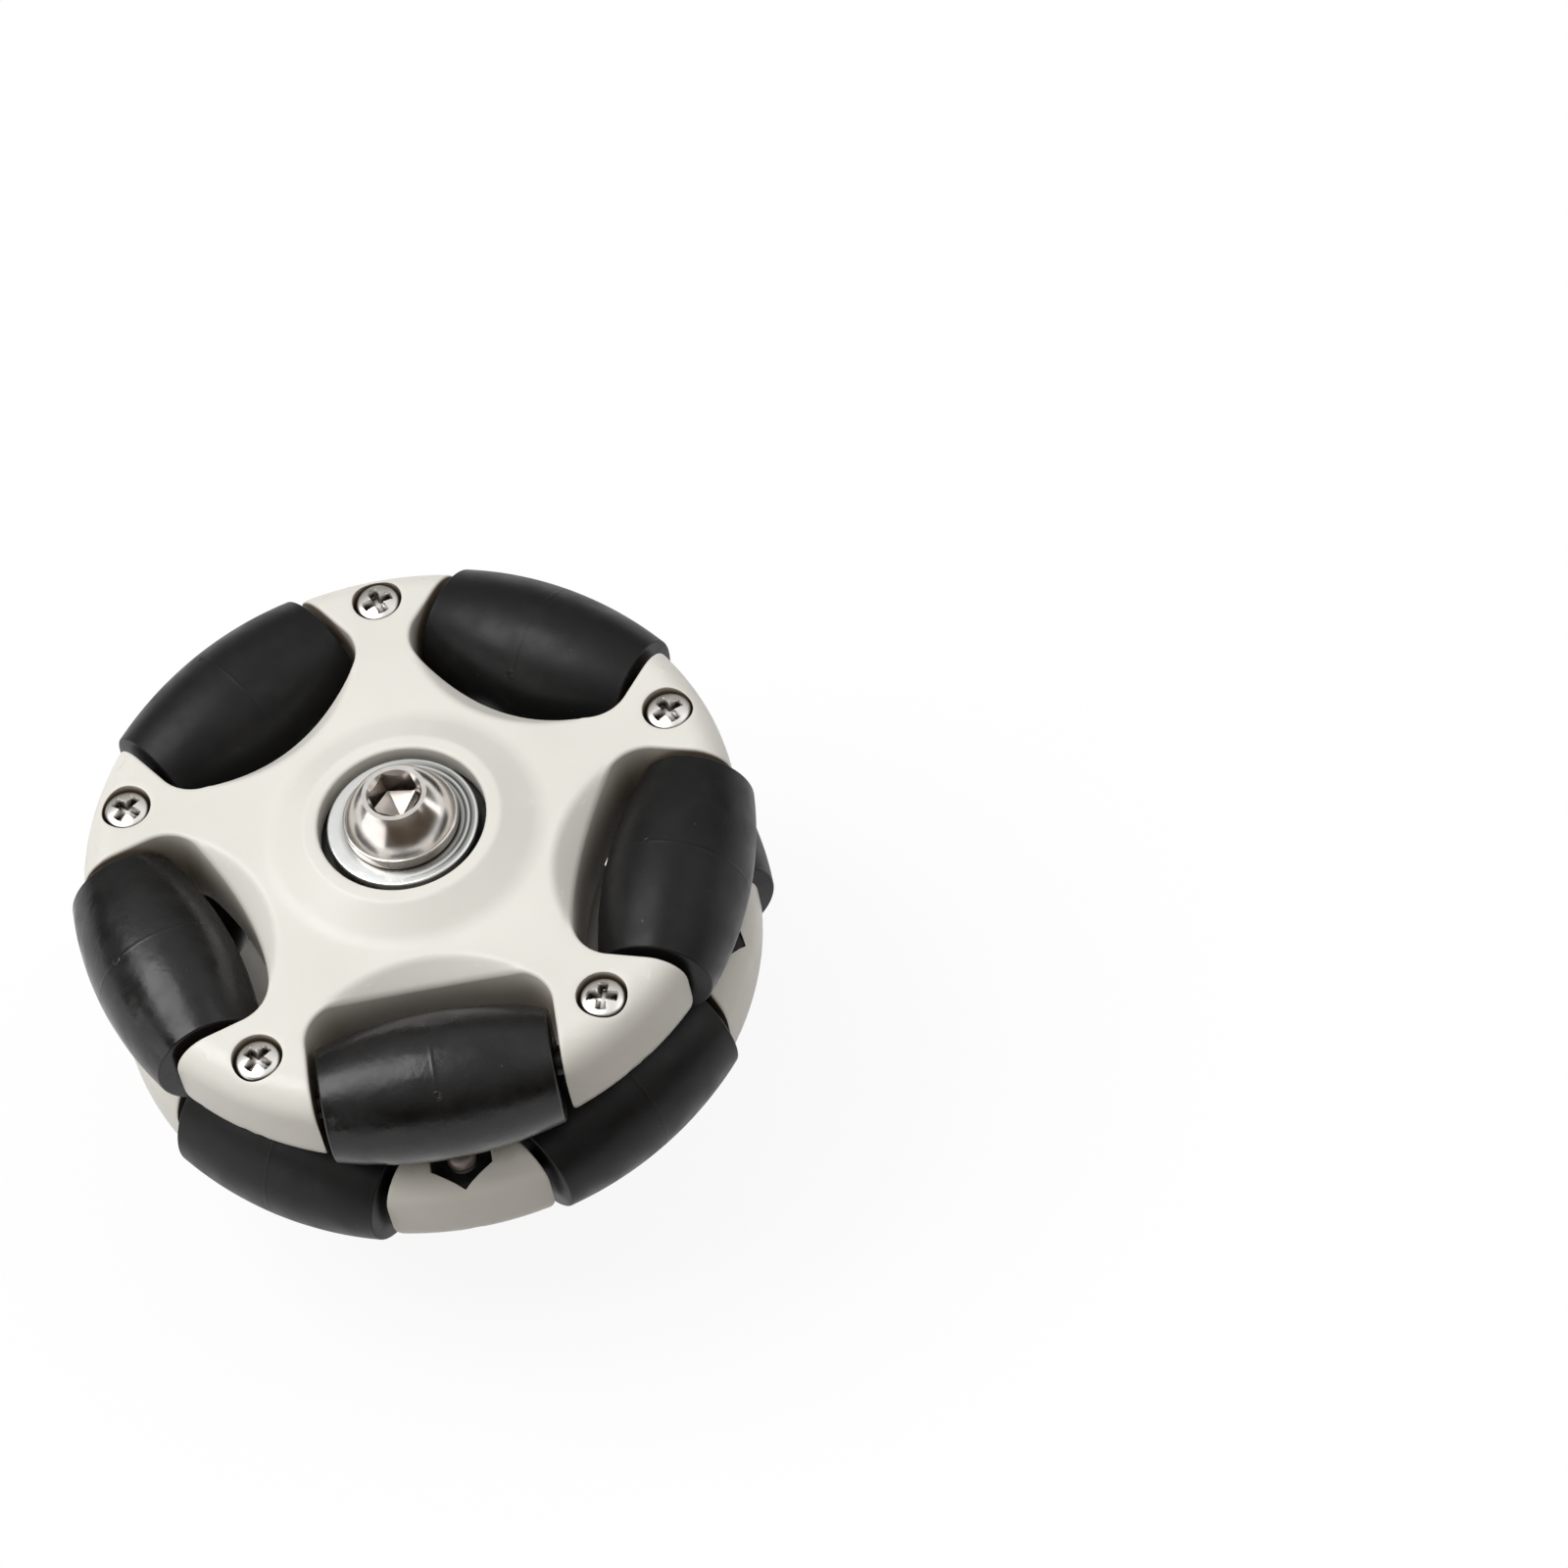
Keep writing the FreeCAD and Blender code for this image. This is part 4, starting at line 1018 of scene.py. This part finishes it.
def floor_white():
    """White to look at and in mirrored and bent rays, with a pale shadow, but throwing back little light."""
    material = bpy.data.materials.new("floor_white")
    material.use_nodes = True
    tree = material.node_tree
    tree.nodes.clear()
    path = tree.nodes.new("ShaderNodeLightPath")
    seen = path.outputs[BACKGROUND_RAYS[0]]
    for ray in BACKGROUND_RAYS[1:]:
        either = tree.nodes.new("ShaderNodeMath")
        either.operation = "MAXIMUM"
        tree.links.new(seen, either.inputs[0])
        tree.links.new(path.outputs[ray], either.inputs[1])
        seen = either.outputs[0]
    share = tree.nodes.new("ShaderNodeMath")
    share.operation = "MULTIPLY"
    share.inputs[1].default_value = FLOOR_GLOW
    tree.links.new(seen, share.inputs[0])
    tone = tree.nodes.new("ShaderNodeMix")
    tone.data_type = "RGBA"
    tone.inputs["A"].default_value = (*FLOOR_TONE, 1)
    tone.inputs["B"].default_value = (*WHITE, 1)
    tree.links.new(seen, tone.inputs["Factor"])
    matt = tree.nodes.new("ShaderNodeBsdfDiffuse")
    tree.links.new(tone.outputs["Result"], matt.inputs["Color"])
    glow = tree.nodes.new("ShaderNodeEmission")
    glow.inputs["Color"].default_value = (*WHITE, 1)
    mix = tree.nodes.new("ShaderNodeMixShader")
    tree.links.new(share.outputs[0], mix.inputs[0])
    tree.links.new(matt.outputs[0], mix.inputs[1])
    tree.links.new(glow.outputs[0], mix.inputs[2])
    output = tree.nodes.new("ShaderNodeOutputMaterial")
    tree.links.new(mix.outputs[0], output.inputs["Surface"])
    return material


def floor():
    """A wide floor at the level of the bolt's end."""
    level = cad_box[0][2]
    mesh = bmesh.new()
    corners = [(-1, -1), (1, -1), (1, 1), (-1, 1)]
    mesh.faces.new([mesh.verts.new((x * FLOOR_HALF, y * FLOOR_HALF, level)) for x, y in corners])
    piece = finished("floor", mesh)
    piece.data.materials.append(floor_white())


def lamp(name, place, width, height, power):
    """A soft lamp that faces the wheel."""
    data = bpy.data.lights.new(name, "AREA")
    data.shape = "RECTANGLE"
    data.size = width
    data.size_y = height
    data.energy = power
    item = bpy.data.objects.new(name, data)
    item.location = place
    item.rotation_euler = (LAMP_AIM - Vector(place)).to_track_quat("-Z", "Y").to_euler()
    bpy.context.scene.collection.objects.link(item)


def world():
    """A studio surround, bright overhead and behind, and dark low in front, where the viewer stands."""
    item = bpy.data.worlds.new("studio")
    item.use_nodes = True
    tree = item.node_tree
    place = tree.nodes.new("ShaderNodeTexCoord")
    split = tree.nodes.new("ShaderNodeSeparateXYZ")
    tree.links.new(place.outputs["Generated"], split.inputs[0])
    side = tree.nodes.new("ShaderNodeMapRange")
    side.interpolation_type = "SMOOTHSTEP"
    side.inputs["From Min"].default_value = -SIDE_BLEND
    side.inputs["From Max"].default_value = SIDE_BLEND
    tree.links.new(split.outputs["Y"], side.inputs["Value"])
    both = tree.nodes.new("ShaderNodeMix")
    both.data_type = "RGBA"
    tree.links.new(side.outputs[0], both.inputs["Factor"])
    for name, sky in (("A", FRONT_SKY), ("B", BACK_SKY)):
        ramp = tree.nodes.new("ShaderNodeValToRGB")
        tree.links.new(split.outputs["Z"], ramp.inputs[0])
        for level, _ in sky[1:-1]:
            ramp.color_ramp.elements.new(level)
        for element, (level, colour) in zip(ramp.color_ramp.elements, sky):
            element.position = level
            element.color = (*colour, 1)
        tree.links.new(ramp.outputs[0], both.inputs[name])
    tree.links.new(both.outputs["Result"], tree.nodes["Background"].inputs["Color"])
    bpy.context.scene.world = item


def camera():
    """The camera that the photo was taken from, as fitted to points read from it."""
    data = bpy.data.cameras.new("camera")
    data.lens = LENS
    data.sensor_width = SENSOR_WIDTH
    data.clip_start = NEAREST_SEEN
    item = bpy.data.objects.new("camera", data)
    away = Vector((math.sin(AZIMUTH) * math.cos(ELEVATION), -math.cos(AZIMUTH) * math.cos(ELEVATION),
                   math.sin(ELEVATION)))
    turn = (-away).to_track_quat("-Z", "Y").to_matrix() @ Matrix.Rotation(ROLL, 3, "Z")
    item.matrix_world = Matrix.Translation(AIM + away * DISTANCE) @ turn.to_4x4()
    bpy.context.scene.collection.objects.link(item)
    bpy.context.scene.camera = item


floor()
lamp("key", place=(-0.414, 0.07, 0.80), width=0.56, height=0.66, power=4.45)
lamp("left", place=(-0.80, -0.37, 0.19), width=0.95, height=0.45, power=1.8)
lamp("window", place=(0.8, 0.05, 0.12), width=0.20, height=0.34, power=0.3)
lamp("fill", place=(0.5, -0.05, 0.5), width=0.5, height=0.5, power=0.55)
world()
camera()
bpy.context.scene.view_settings.view_transform = "Standard"
